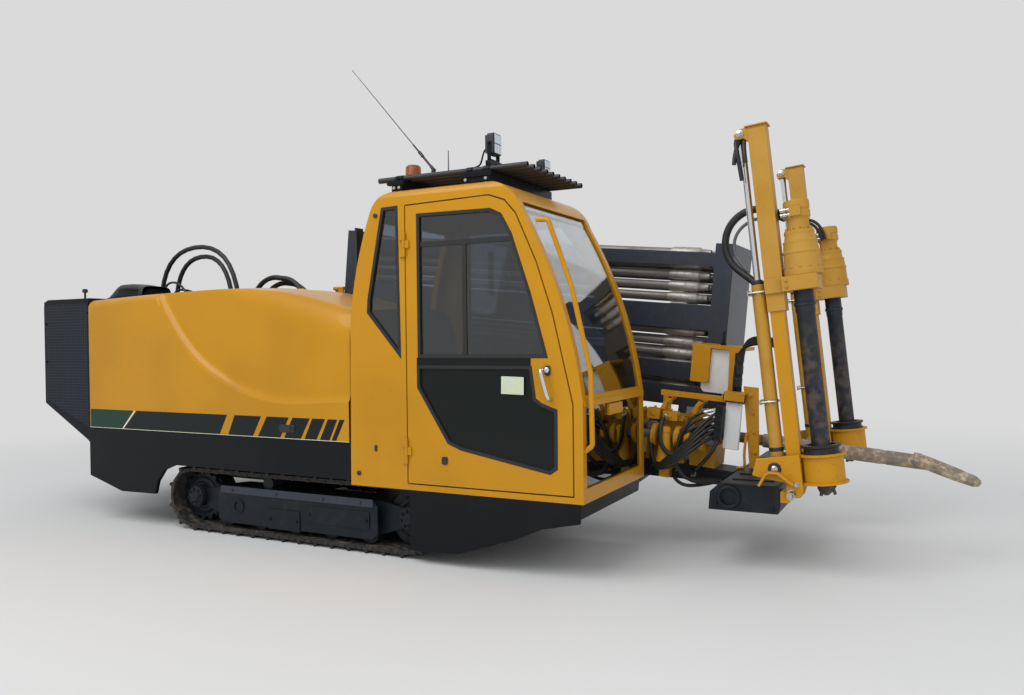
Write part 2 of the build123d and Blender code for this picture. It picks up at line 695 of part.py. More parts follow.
# Roof rack of parallel tubes on two saddles, with lamps, beacon and aerials
rack_tube_count = 10
roof_z = cab_roof_z
tube_z = roof_z + 92
with BuildPart() as roof_rack:
    for x, length in ((60, 80), (570, 180)):
        extrude(block(across(x), near + 90, cab_far_y - 60, roof_z + seat_gap, tube_z - 17), amount=length)
    rack_tube_y = [near + 130 + number * (cab_far_y - near - 220) / (rack_tube_count - 1)
                   for number in range(rack_tube_count)]
    for y in rack_tube_y:
        extrude(few_sided(across(-60), y, tube_z, 17, 8), amount=1040)
save(roof_rack, "roof_rack")

with BuildPart() as lamps:
    lamp_low_z = tube_z + 17 + seat_gap
    extrude(block(across(705), near + 125, cab_far_y - 90, lamp_low_z, lamp_low_z + 35), amount=35)
    for y, low_z, high_z in ((near + 185, 68, 195), (cab_far_y - 140, 58, 165)):
        extrude(block(across(700), y - 50, y + 50, lamp_low_z + low_z, lamp_low_z + high_z), amount=60)
        extrude(block(across(715), y - 12, y + 12, lamp_low_z + 35 + seat_gap, lamp_low_z + low_z - seat_gap),
                amount=20)
save(lamps, "lamps")

with BuildPart() as beacon:
    beacon_x = 105.0
    beacon_y = (rack_tube_y[1] + rack_tube_y[2]) / 2
    extrude(few_sided(Plane.XY.offset(lamp_low_z), beacon_x, beacon_y, 62, 24), amount=20)
    extrude(few_sided(Plane.XY.offset(lamp_low_z + 20 + seat_gap), beacon_x, beacon_y, 50, 24), amount=70)
save(beacon, "beacon")

with BuildPart() as aerials:
    whip_z = lamp_low_z + 110
    extrude(few_sided(Plane.XY.offset(lamp_low_z), 285, rack_tube_y[3], 12, 12), amount=190)
    extrude(few_sided(Plane.XY.offset(lamp_low_z), 115, rack_tube_y[4], 16, 12), amount=whip_z - lamp_low_z)
    whip = Plane((115, rack_tube_y[4], whip_z - 10), x_dir=(0, 1, 0), z_dir=(-0.657, 0.0, 0.754))
    extrude(few_sided(whip, 0, 0, 9, 8), amount=320)
    extrude(few_sided(whip, 0, 0, 3.5, 6), amount=1000)
save(aerials, "aerials")

# Yellow grab rail outside the windscreen's near post
with BuildPart() as grab_rail:
    rail_y = near + 30
    path = tube_along([(1080, rail_y, 2010), (1150, rail_y, 2005), (1290, rail_y, 1620), (1395, rail_y, 1150),
                       (1400, rail_y, 760), (1345, rail_y, 720)], 30)
    sweep(few_sided(Plane(origin=path @ 0, z_dir=path % 0), 0, 0, 15, 8), path=path)
    extrude(cab_profile(side(cab_far_y), -seat_gap), amount=cab_width, mode=Mode.SUBTRACT)
save(grab_rail, "grab_rail")

# Rack beam with its rail plates, pivot pins, front cross beam and the lug of the tilt cylinder
rail_low_w = beam_high_w - rail_plate
pin_length = ear_gap + ear_thickness - seat_gap
with BuildPart() as rack_frame:
    beam_top_w = rail_low_w - seat_gap
    beam_end_u = beam_front_u - seat_gap
    step_low_w = beam_front_low_w - 34
    main_beam = [(beam_rear_u, beam_low_w), (beam_step_u - 120, beam_low_w), (beam_step_u, step_low_w),
                 (beam_step_u, beam_top_w), (beam_rear_u, beam_top_w)]
    front_beam = [(beam_step_u + seat_gap, step_low_w), (beam_end_u, beam_front_low_w),
                  (beam_end_u, beam_top_w), (beam_step_u + seat_gap, beam_top_w)]
    for beam_part in (main_beam, front_beam):
        extrude(outline(rack_side(beam_far_y), beam_part), amount=beam_width)
    extrude(block(rack_end(beam_rear_u), beam_near_y - rail_flange, beam_far_y + rail_flange, rail_low_w,
                  beam_high_w), amount=rail_front_u - beam_rear_u)
    extrude(block(rack_end(rail_front_u + seat_gap), beam_near_y, beam_far_y, rail_low_w, beam_high_w),
            amount=beam_front_u - rail_front_u - 2 * seat_gap)
    for y in (beam_near_y - seat_gap, ear_outer_y):
        extrude(disc(rack_side(y), 0, 0, pin_radius), amount=pin_length)
    foot = [rack_point(beam_front_u, beam_front_low_w - 47)[::2], (foot_front_x - 14, foot_low_z),
            (foot_front_x, foot_low_z + 50), (foot_front_x, foot_high_z - 26), (foot_front_x - 20, foot_high_z),
            (foot_front_x - 334, foot_high_z), rack_point(beam_front_u, beam_top_w)[::2]]
    extrude(outline(side(anchor_y[1] + 50), foot), amount=anchor_y[1] - anchor_y[0] + 100)
    tilt_eye_lug = [(tilt_eye_u - 60, beam_low_w + 10), (tilt_eye_u + 60, beam_low_w + 10),
                    (tilt_eye_u + 40, 20), (tilt_eye_u - 40, 20)]
    extrude(outline(rack_side(beam_near_y - seat_gap), tilt_eye_lug), amount=beam_near_y - seat_gap - tilt_lug_y)
save(rack_frame, "rack_frame")

# Rod box: end columns, side beams and carrying plates
rod_floor_w = rod_top_w - (rod_rows - 0.5) * rod_pitch
box_low_w = rod_floor_w - 70
box_high_w = rod_top_w + 81
side_beams = ((-79, 15), (-527, -354), (-881, -762), (-1070, -932))
with BuildPart() as rod_box:
    for u, length in ((box_rear_u, rear_column), (box_front_u - front_column, front_column)):
        extrude(block(rack_end(u), box_near_y, box_far_y, box_low_w, box_high_w), amount=length)
    for low, high in side_beams:
        for y in (box_near_y, box_far_y - box_beam):
            extrude(block(rack_end(box_rear_u), y, y + box_beam, rod_top_w + low, rod_top_w + high),
                    amount=box_front_u - box_rear_u)
    extrude(block(rack_end(box_rear_u), box_near_y, box_far_y, box_low_w, rod_floor_w),
            amount=box_front_u - box_rear_u)
    for u, low_w in ((-1900, beam_low_w + 20), (780, beam_front_low_w - 20)):
        carrier = [(beam_far_y, low_w), (box_far_y, box_low_w - 184), (box_far_y, box_low_w + 6),
                   (box_near_y, box_low_w + 6), (box_near_y - 80, rail_low_w - 10), (beam_far_y, rail_low_w - 10)]
        extrude(outline(rack_end(u), carrier), amount=60)
save(rod_box, "rod_box")

# Stored rods: the columns and the top row that can be seen
with BuildPart() as drill_rods:
    column_pitch = (box_far_y - box_near_y - 2 * box_beam - 2 * stored_rod_radius - 8) / (rod_columns - 1)
    first_y = box_near_y + box_beam + stored_rod_radius + 4
    for column in range(rod_columns):
        for row in range(rod_rows):
            if row and 0 < column < rod_columns - 1:
                continue
            y = first_y + column * column_pitch
            w = rod_top_w - row * rod_pitch
            rod_end = rack_end(box_rear_u + rear_column + seat_gap)
            extrude(few_sided(rod_end, y, w, stored_rod_radius, 12), amount=rod_length)
save(drill_rods, "drill_rods")

# Vises: open-topped blocks with three clamp discs beside each
vises = ((330, 300), (700, 260))
vise_near_y = drill_y - 115
disc_y = drill_y - 200
disc_w = drill_w - 95
jaw_low_w = drill_w - 65
jaw_high_w = drill_w + 70
with BuildPart() as vise_group:
    for u, length in vises:
        extrude(block(rack_end(u), vise_near_y, drill_y + 150, beam_high_w + seat_gap, jaw_low_w - seat_gap),
                amount=length)
        extrude(block(rack_end(u), vise_near_y, drill_y - 65, jaw_low_w, jaw_high_w), amount=length)
        extrude(block(rack_end(u), drill_y + 65, drill_y + 150, jaw_low_w, jaw_high_w), amount=length)
        for place in (0, 90, length - 40):
            extrude(few_sided(rack_end(u + place), disc_y, disc_w, 82, 24), amount=40)
        extrude(few_sided(rack_end(u), disc_y, disc_w, 30, 12), amount=length)
        extrude(block(rack_end(u + 30), disc_y + 20, vise_near_y - seat_gap, disc_w - 25, disc_w + 25),
                amount=length - 60)
save(vise_group, "vise_group")

# Yellow bracket and tray above the vises, joined to the rod box front
with BuildPart() as bracket:
    post_y = beam_near_y - 30
    tray_low_w = 540
    tray_high_w = 575
    shelf_w = 870
    post_foot_z = foot_high_z + seat_gap
    post = [rack_point(1400, 655)[::2], rack_point(1310, 655)[::2], (foot_front_x - 285, post_foot_z),
            (foot_front_x - 229, post_foot_z)]
    extrude(outline(side(post_y + 30), post), amount=30)
    extrude(block(rack_end(800), post_y, post_y + 30, drill_w + 70, 560), amount=50)
    extrude(block(rack_end(780), post_y, post_y + 30, tray_low_w, tray_high_w), amount=550)
    extrude(block(rack_end(1180), post_y, box_near_y + 60, tray_low_w, tray_high_w), amount=60)
    extrude(block(rack_end(box_front_u + seat_gap), box_near_y - 40, box_near_y + 60, tray_high_w, shelf_w),
            amount=100)
    extrude(block(rack_end(920), drill_y, box_near_y - seat_gap, shelf_w, shelf_w + 22), amount=350)
    extrude(block(rack_end(925), drill_y, drill_y + 40, shelf_w - 230, shelf_w), amount=120)
    gusset = [(1170, shelf_w), (1268, shelf_w), (1240, tray_high_w), (1182, tray_high_w)]
    extrude(outline(rack_side(drill_y + 30), gusset), amount=30)
save(bracket, "bracket")

with BuildPart() as guard_box:
    extrude(block(rack_end(1218), post_y - 30 - seat_gap, post_y - seat_gap, 250, 550), amount=100)
save(guard_box, "guard_box")

# Carriage with gearbox and motors
with BuildPart() as carriage:
    cheek_gap = 3.0
    extrude(block(rack_end(carriage_rear_u), beam_near_y - 60, beam_far_y + 60, beam_high_w + seat_gap,
                  beam_high_w + 60), amount=carriage_front_u - carriage_rear_u)
    for y in (beam_near_y - 60, beam_far_y + rail_flange + cheek_gap):
        extrude(block(rack_end(carriage_rear_u), y, y + 30 - cheek_gap, beam_high_w - 22, beam_high_w + 60),
                amount=carriage_front_u - carriage_rear_u)
    extrude(block(rack_end(carriage_rear_u + 40), drill_y - 150, drill_y + 150, beam_high_w + 60,
                  drill_w + 190), amount=carriage_front_u - carriage_rear_u - 80)
    extrude(disc(rack_end(carriage_front_u - 40), drill_y, drill_w, 110, sub_radius + 0.05), amount=40)
    extrude(disc(rack_end(carriage_front_u - 140), drill_y, drill_w, sub_radius + 0.05), amount=140,
            mode=Mode.SUBTRACT)
    for y in (drill_y - 90, drill_y + 90):
        extrude(disc(rack_end(carriage_rear_u - 60), y, drill_w + 90, 70), amount=100)
save(carriage, "carriage")

with BuildPart() as carriage_hoses:
    for y, rear_u, front_u, peak in ((drill_y - 60, -2950, -2330, 640), (drill_y - 10, -2880, -2300, 600)):
        base = drill_w + 190
        path = tube_along([rack_point(rear_u, base, y), rack_point(rear_u, base + peak, y),
                           rack_point(front_u - 60, base + peak - 20, y),
                           rack_point(front_u, base + 130, y)], 250)
        sweep(few_sided(Plane(origin=path @ 0, z_dir=path % 0), 0, 0, 22, 8), path=path)
save(carriage_hoses, "carriage_hoses")

# Drill string: spindle sub, rods, transmitter housing and the bent steering blade
tip_u = (half_length - pivot_x - blade_low_w * tilt_sin) / tilt_cos
housing_front_u = tip_u - blade_length
housing_rear_u = housing_front_u - housing_length
with BuildPart() as drill_string:
    extrude(disc(rack_end(carriage_front_u - 130), drill_y, drill_w, sub_radius),
            amount=spindle_front_u - carriage_front_u + 130)
    extrude(disc(rack_end(spindle_front_u), drill_y, drill_w, rod_radius),
            amount=housing_rear_u - spindle_front_u)
    for u in (spindle_front_u + rod_length - 120, spindle_front_u):
        extrude(disc(rack_end(u), drill_y, drill_w, tool_joint_radius), amount=240)
save(drill_string, "drill_string")

with BuildPart() as drill_head:
    extrude(disc(rack_end(housing_rear_u), drill_y, drill_w, housing_radius),
            amount=housing_front_u - housing_rear_u)
    blade = [(housing_front_u - 90, drill_w + 30), (housing_front_u + 10, drill_w + 22),
             (tip_u, blade_low_w + 8), (tip_u, blade_low_w), (housing_front_u, drill_w - 12),
             (housing_front_u - 90, drill_w - 12)]
    extrude(outline(rack_side(drill_y + 50), blade), amount=100)
save(drill_head, "drill_head")

# Stake-down anchors: the same set on both sides, handed so that the outer plates face out
ring_high_h = 45.0
flange_radius = drum_radius + 16
half_inner = inner_size / 2
plate_profile = [(-195, -10), (-228, -100), (-190, -115), (-45, -150), (-60, -235), (20, -235),
                 (half_inner, -190), (half_inner, 0)]
with BuildPart() as anchor_bases:
    for y, out in zip(anchor_y, (-1, 1)):
        extrude(block(mast_up(-200, y), -half_inner, half_inner, -half_inner, half_inner),
                amount=200 + inner_high_h)
        outer_plate_y = y + out * 70
        extrude(outline(mast_side(outer_plate_y + 10), plate_profile), amount=20)
        inner_plate = [(-62, -10), (-62, -235), (20, -235), (half_inner, -190), (half_inner, 0)]
        extrude(outline(mast_side(y - out * 70 + 10), inner_plate), amount=20)
        extrude(block(mast_up(-235, y), -45, 20, -79, 79), amount=215)
        extrude(block(side(y + 60), foot_front_x + seat_gap, mast_x - 20, foot_high_z - 89, foot_high_z - 26),
                amount=120)
save(anchor_bases, "anchor_bases")

with BuildPart() as anchor_barrels:
    for y in anchor_y:
        extrude(disc(mast_up(barrel_low_h, y), cylinder_f, 0, barrel_radius),
                amount=barrel_high_h - barrel_low_h)
        extrude(disc(mast_up(0, y), cylinder_f, 0, barrel_bore), amount=barrel_high_h - 20,
                mode=Mode.SUBTRACT)
        extrude(disc(mast_up(barrel_high_h - 30, y), cylinder_f, 0, anchor_rod_radius + pin_play), amount=40,
                mode=Mode.SUBTRACT)
        extrude(disc(mast_side(y + 60 - seat_gap), cylinder_f, -70, 30), amount=120 - 2 * seat_gap)
save(anchor_barrels, "anchor_barrels")

for name, y in zip(("near", "far"), anchor_y):
    half_tube = tube_size / 2
    with BuildPart() as anchor_drum:
        for low_h, high_h, radius in (
            (drum_low_h, drum_high_h, drum_radius),
            (drum_high_h, drum_high_h + 12, flange_radius),
            (drum_low_h - 12, drum_low_h, flange_radius),
        ):
            extrude(disc(mast_up(low_h, y), auger_f, 0, radius), amount=high_h - low_h)
        extrude(disc(mast_up(drum_low_h - 20, y), auger_f, 0, drum_bore), amount=200, mode=Mode.SUBTRACT)
        extrude(block(mast_up(drum_low_h - 20, y), -flange_radius, half_inner + seat_gap, -flange_radius,
                      flange_radius), amount=200, mode=Mode.SUBTRACT)
    save(anchor_drum, f"anchor_drum_{name}")

    with BuildPart() as drum_ring:
        extrude(disc(mast_up(drum_high_h + 12, y), auger_f, 0, 100, ring_bore),
                amount=ring_high_h - drum_high_h - 12)
    save(drum_ring, f"drum_ring_{name}")

    with BuildPart() as anchor_slider:
        extrude(block(mast_up(tube_low_h, y), -half_tube, half_tube, -half_tube, half_tube),
                amount=tube_high_h - tube_low_h)
        inside = half_tube - tube_wall
        extrude(block(mast_up(tube_low_h - 1, y), -inside, inside, -inside, inside),
                amount=tube_high_h - tube_low_h - 10, mode=Mode.SUBTRACT)
        arm = [(cylinder_f - 30, anchor_rod_high_h - 30), (cylinder_f + 22, anchor_rod_high_h - 30),
               (-half_tube, anchor_rod_high_h - 60), (-half_tube, tube_high_h),
               (half_tube, tube_high_h), (half_tube, tube_high_h + 14), (cylinder_f, tube_high_h + 14),
               (cylinder_f - 34, anchor_rod_high_h)]
        extrude(outline(mast_side(y + 45), arm), amount=90)
        extrude(block(mast_up(895, y), half_tube, 235, -105, 105), amount=80)
        for cheek in (half_tube, -half_tube - 16):
            extrude(block(mast_side(y + cheek + 16), -half_tube, 235, 895, 975), amount=16)
    save(anchor_slider, f"anchor_slider_{name}")

    with BuildPart() as anchor_rod:
        extrude(disc(mast_up(840, y), cylinder_f, 0, anchor_rod_radius), amount=anchor_rod_high_h - 30 - 840)
        extrude(disc(mast_up(840, y), cylinder_f, 0, barrel_bore - 0.5), amount=60)
    save(anchor_rod, f"anchor_rod_{name}")

    motor_sections = ((975, 1015, 104), (1015, 1180, 98), (1180, 1230, 80), (1230, 1290, 58), (1290, 1391, 70))
    with BuildPart() as auger_motor:
        for low_h, high_h, radius in motor_sections:
            extrude(disc(mast_up(low_h, y), auger_f + 12, 0, radius), amount=high_h - low_h)
    save(auger_motor, f"auger_motor_{name}")

    auger_sections = ((auger_tip_h, -200, 25), (-200, -190, auger_pipe_radius), (-190, -178, flight_radius),
                      (-178, -120, auger_pipe_radius), (-120, -108, flight_radius),
                      (-108, 770, auger_pipe_radius), (770, 895, auger_pipe_radius + 4))
    with BuildPart() as auger:
        for low_h, high_h, radius in auger_sections:
            extrude(disc(mast_up(low_h, y), auger_f, 0, radius), amount=high_h - low_h - seat_gap)
    save(auger, f"auger_{name}")

# Tilt cylinder: barrel on the frame, rod to the rack
eye = rack_point(tilt_eye_u, tilt_eye_w)
tilt_run = math.hypot(eye[0] - tilt_base_x, eye[2] - tilt_base_z)
tilt_dir = ((eye[0] - tilt_base_x) / tilt_run, 0, (eye[2] - tilt_base_z) / tilt_run)


def tilt_plane(distance):
    return Plane((tilt_base_x + tilt_dir[0] * distance, 0, tilt_base_z + tilt_dir[2] * distance),
                 x_dir=(0, 1, 0), z_dir=tilt_dir)


with BuildPart() as tilt_barrel:
    extrude(disc(tilt_plane(30), 0, 0, tilt_cylinder_radius), amount=tilt_run - 30 - 130)
    extrude(disc(tilt_plane(60), 0, 0, tilt_rod_radius + 6), amount=tilt_run - 30 - 170, mode=Mode.SUBTRACT)
    extrude(disc(tilt_plane(tilt_run - 180), 0, 0, tilt_rod_radius + pin_play), amount=200, mode=Mode.SUBTRACT)
    extrude(disc(side(35), tilt_base_x, tilt_base_z, 38), amount=70)
    extrude(disc(side(67), tilt_base_x, tilt_base_z, 20), amount=134)
save(tilt_barrel, "tilt_barrel")

with BuildPart() as tilt_rod:
    extrude(disc(tilt_plane(150), 0, 0, tilt_rod_radius), amount=tilt_run - 150)
    extrude(disc(side(tilt_eye_half), eye[0], eye[2], 32), amount=2 * tilt_eye_half)
    extrude(disc(side(tilt_lug_y - 1), eye[0], eye[2], 18), amount=tilt_lug_y - 1 + tilt_eye_half)
save(tilt_rod, "tilt_rod")
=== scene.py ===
import json
from math import copysign, cos, exp, hypot, pi, radians, sin, sqrt

import bmesh
import bpy
from bpy.props import FloatProperty, FloatVectorProperty, PointerProperty
from bpy.types import Operator, Panel, PropertyGroup
from mathutils import Matrix, Vector


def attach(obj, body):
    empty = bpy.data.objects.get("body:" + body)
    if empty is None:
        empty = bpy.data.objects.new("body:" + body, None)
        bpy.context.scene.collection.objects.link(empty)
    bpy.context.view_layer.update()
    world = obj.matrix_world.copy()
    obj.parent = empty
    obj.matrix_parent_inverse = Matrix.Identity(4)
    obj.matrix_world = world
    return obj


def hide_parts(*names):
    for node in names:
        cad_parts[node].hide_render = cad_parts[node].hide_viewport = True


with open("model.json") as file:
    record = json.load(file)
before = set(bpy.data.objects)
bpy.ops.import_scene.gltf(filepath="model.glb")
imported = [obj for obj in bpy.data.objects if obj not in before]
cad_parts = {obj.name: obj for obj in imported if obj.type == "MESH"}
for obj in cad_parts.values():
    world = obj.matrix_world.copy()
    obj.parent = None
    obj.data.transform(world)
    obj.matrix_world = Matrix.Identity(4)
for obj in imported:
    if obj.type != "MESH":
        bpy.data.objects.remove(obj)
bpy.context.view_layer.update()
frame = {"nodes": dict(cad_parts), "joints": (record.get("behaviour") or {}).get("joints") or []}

bl_info = {
    "name": "Drilling rig dressing",
    "version": (1, 0, 0),
    "blender": (4, 5, 0),
    "location": "View3D > Sidebar > Rig",
    "description": "Finishes and fittings of a tracked horizontal directional drill",
    "category": "Object",
}

PHOTO_WIDTH = 1024
SENSOR_WIDTH = 36.0
JOINTS = {joint["name"]: joint for joint in frame["joints"]}


# Local frames, all worked out from the joints
def local_frame(origin, forward, up):
    """Forward, left and up of a part of the machine, as a matrix to the row frame."""
    forward = Vector(forward).normalized()
    up = Vector(up).normalized()
    left = up.cross(forward)
    turn = Matrix((forward, left, up)).transposed()
    return Matrix.Translation(Vector(origin)) @ turn.to_4x4()


ROW = Matrix.Identity(4)
PIVOT = Vector(JOINTS["rack_tilt"]["pos_m"])
THRUST = Vector(JOINTS["carriage_travel"]["axis"]).normalized()
RACK = local_frame((PIVOT.x, 0.0, PIVOT.z), THRUST, Vector((0, 1, 0)).cross(-THRUST))
DRILL_AXIS = RACK.inverted() @ Vector(JOINTS["drill_spin"]["pos_m"])
# Where an auger's joint is marked: forward of the mast's middle and above its foot
AUGER_FORWARD = 0.145
AUGER_MARK = 0.400
SIDES = ("near", "far")


def mast_frame(side):
    """Forward, left and up along an anchor's mast, from its foot."""
    up = -Vector(JOINTS[f"{side}_anchor_slide"]["axis"]).normalized()
    forward = Vector((0, 1, 0)).cross(up)
    origin = Vector(JOINTS[f"{side}_auger_spin"]["pos_m"]) - forward * AUGER_FORWARD - up * AUGER_MARK
    return local_frame(origin, forward, up)


MASTS = {side: mast_frame(side) for side in SIDES}
# The flat near side of the cab and the hood, in y
NEAR = -1.120


# Materials: shader sockets in sums, and one class that builds the nodes
def shader_sum(operation, swapped=False):
    def apply(self, other):
        pair = (other, self) if swapped else (self, other)
        return self.finish.node("Math", {"operation": operation}, dict(enumerate(pair)))
    return apply


class Wire:
    """A shader socket that can be used in sums."""

    def __init__(self, finish, socket):
        self.finish = finish
        self.socket = socket

    __add__ = shader_sum("ADD")
    __radd__ = shader_sum("ADD")
    __sub__ = shader_sum("SUBTRACT")
    __rsub__ = shader_sum("SUBTRACT", swapped=True)
    __mul__ = shader_sum("MULTIPLY")
    __rmul__ = shader_sum("MULTIPLY")
    at_most = shader_sum("MINIMUM")


class Finish:
    """One material, made from nodes round a single shader."""

    def __init__(self, color, roughness, **fixed):
        self.material = bpy.data.materials.new("finish")
        self.material.use_nodes = True
        self.tree = self.material.node_tree
        self.tree.nodes.clear()
        self.output = self.tree.nodes.new("ShaderNodeOutputMaterial")
        self.shader = self.tree.nodes.new("ShaderNodeBsdfPrincipled")
        self.tree.links.new(self.shader.outputs[0], self.output.inputs[0])
        self.base = (*color, 1.0)
        self.put("Base Color", self.base)
        self.put("Roughness", roughness)
        for socket, value in fixed.items():
            self.put(socket.replace("_", " "), value)

    def put(self, socket, value):
        target = self.shader.inputs[socket]
        if isinstance(value, Wire):
            self.tree.links.new(value.socket, target)
        else:
            target.default_value = value
        return value

    def node(self, kind, settings=None, values=None, out=0):
        made = self.tree.nodes.new("ShaderNode" + kind)
        for name, value in (settings or {}).items():
            if name == "stops":
                ramp = made.color_ramp
                for index, (place, color) in enumerate(value):
                    stop = ramp.elements[index] if index < 2 else ramp.elements.new(place)
                    stop.position = place
                    stop.color = color
            else:
                setattr(made, name, value)
        for name, value in (values or {}).items():
            if isinstance(value, Wire):
                self.tree.links.new(value.socket, made.inputs[name])
            else:
                made.inputs[name].default_value = value
        return Wire(self, made.outputs[out])

    def place(self):
        return self.node("TexCoord", out=3)

    def along(self, axis):
        return self.node("SeparateXYZ", values={0: self.place()}, out="XYZ".index(axis))

    def facing(self, axis):
        normal = self.node("NewGeometry", out=1)
        return self.node("SeparateXYZ", values={0: normal}, out="XYZ".index(axis))

    def noise(self, scale, detail=4.0, stretch=(1.0, 1.0, 1.0)):
        spread = self.node("Mapping", values={0: self.place(), 3: stretch})
        return self.node("TexNoise", values={0: spread, "Scale": scale, "Detail": detail})

    def rise(self, value, low, high):
        """0 below low, 1 above high and smooth between."""
        return self.node("MapRange", {"interpolation_type": "SMOOTHSTEP"}, {0: value, 1: low, 2: high})

    def mix(self, mask, below, above):
        return self.node("Mix", {"data_type": "RGBA"}, {0: mask, 6: below, 7: above}, out=2)

    def over(self, mask, color):
        """Lay a colour over what is there, as far as the mask goes."""
        self.base = self.mix(mask, self.base, (*color, 1.0))
        self.put("Base Color", self.base)

    def grain(self, height, strength, distance=0.001):
        values = {"Strength": strength, "Distance": distance, "Height": height}
        self.put("Normal", self.node("Bump", values=values))

    def dusty(self, dust, amount, scale, gain, base, low=0.50, high=0.75):
        """Dust on upward faces and in patches, which also roughens. Returns the roughness."""
        patches = self.rise(self.noise(scale, 6.0), low, high)
        ledges = self.rise(self.facing("Z"), 0.3, 0.95)
        mask = ((patches * 0.6 + ledges * 0.5) * amount).at_most(1.0)
        self.over(mask, dust)
        return self.put("Roughness", mask * gain + base)


# Colours and sizes that a user would change
class PaintSettings(PropertyGroup):
    yellow: FloatVectorProperty(name="Yellow", description="Body paint", subtype="COLOR",
                                default=(0.53, 0.245, 0.004), min=0.0, max=1.0)
    black: FloatVectorProperty(name="Black", description="Lower panels and frame", subtype="COLOR",
                               default=(0.006, 0.007, 0.009), min=0.0, max=1.0)
    green: FloatVectorProperty(name="Green", description="Rear block of the side stripe", subtype="COLOR",
                               default=(0.012, 0.045, 0.032), min=0.0, max=1.0)
    dust: FloatVectorProperty(name="Dust", description="Dry soil on steel and tracks", subtype="COLOR",
                              default=(0.20, 0.165, 0.125), min=0.0, max=1.0)
    wear: FloatProperty(name="Wear", description="How dirty the working parts are", default=0.6,
                        min=0.0, max=1.0, subtype="FACTOR")


class CameraSettings(PropertyGroup):
    place: FloatVectorProperty(name="Place", description="Where the photograph was taken from",
                               subtype="TRANSLATION", default=(3.107, -5.320, 1.360))
    azimuth: FloatProperty(name="Azimuth", description="0 looks left across the machine", subtype="ANGLE",
                           default=radians(27.38))
    pitch: FloatProperty(name="Pitch", description="Above the horizon", subtype="ANGLE",
                         default=radians(-0.77))
    roll: FloatProperty(name="Roll", description="Turn about the line of sight", subtype="ANGLE",
                        default=radians(-0.68))
    focal: FloatProperty(name="Focal length", description="In pixels of the photograph", default=839.5)


class LightSettings(PropertyGroup):
    backdrop: FloatProperty(name="Backdrop", description="Brightness of the floor and background",
                            default=0.70, min=0.0, max=1.0)
    sky: FloatProperty(name="Sky", description="Strength of the even light", default=0.55, min=0.0)
    key: FloatProperty(name="Key", description="Power of the large soft lamp", default=540.0, min=0.0,
                       unit="POWER")
    fill: FloatProperty(name="Fill", description="Power of the lamp by the camera", default=150.0, min=0.0,
                        unit="POWER")


SETTINGS = {"rig_paint": PaintSettings, "rig_camera": CameraSettings, "rig_light": LightSettings}


# Shapes
def circle(count, radius, start=0.0, whole=2 * pi):
    """Pairs of distances across and up, for points at even steps round a circle."""
    for step in range(count):
        angle = start + whole * step / count
        yield radius * cos(angle), radius * sin(angle)


def walls(rings, sides, closed=False):
    """Faces between rings of points, with a lid at each end unless the last ring joins the first."""
    faces = []
    for ring in range(rings if closed else rings - 1):
        here, there = ring * sides, (ring + 1) % rings * sides
        for step in range(sides):
            after = (step + 1) % sides
            faces.append((here + step, here + after, there + after, there + step))
    if not closed:
        faces.append(list(range(sides))[::-1])
        faces.append(list(range((rings - 1) * sides, rings * sides)))
    return faces


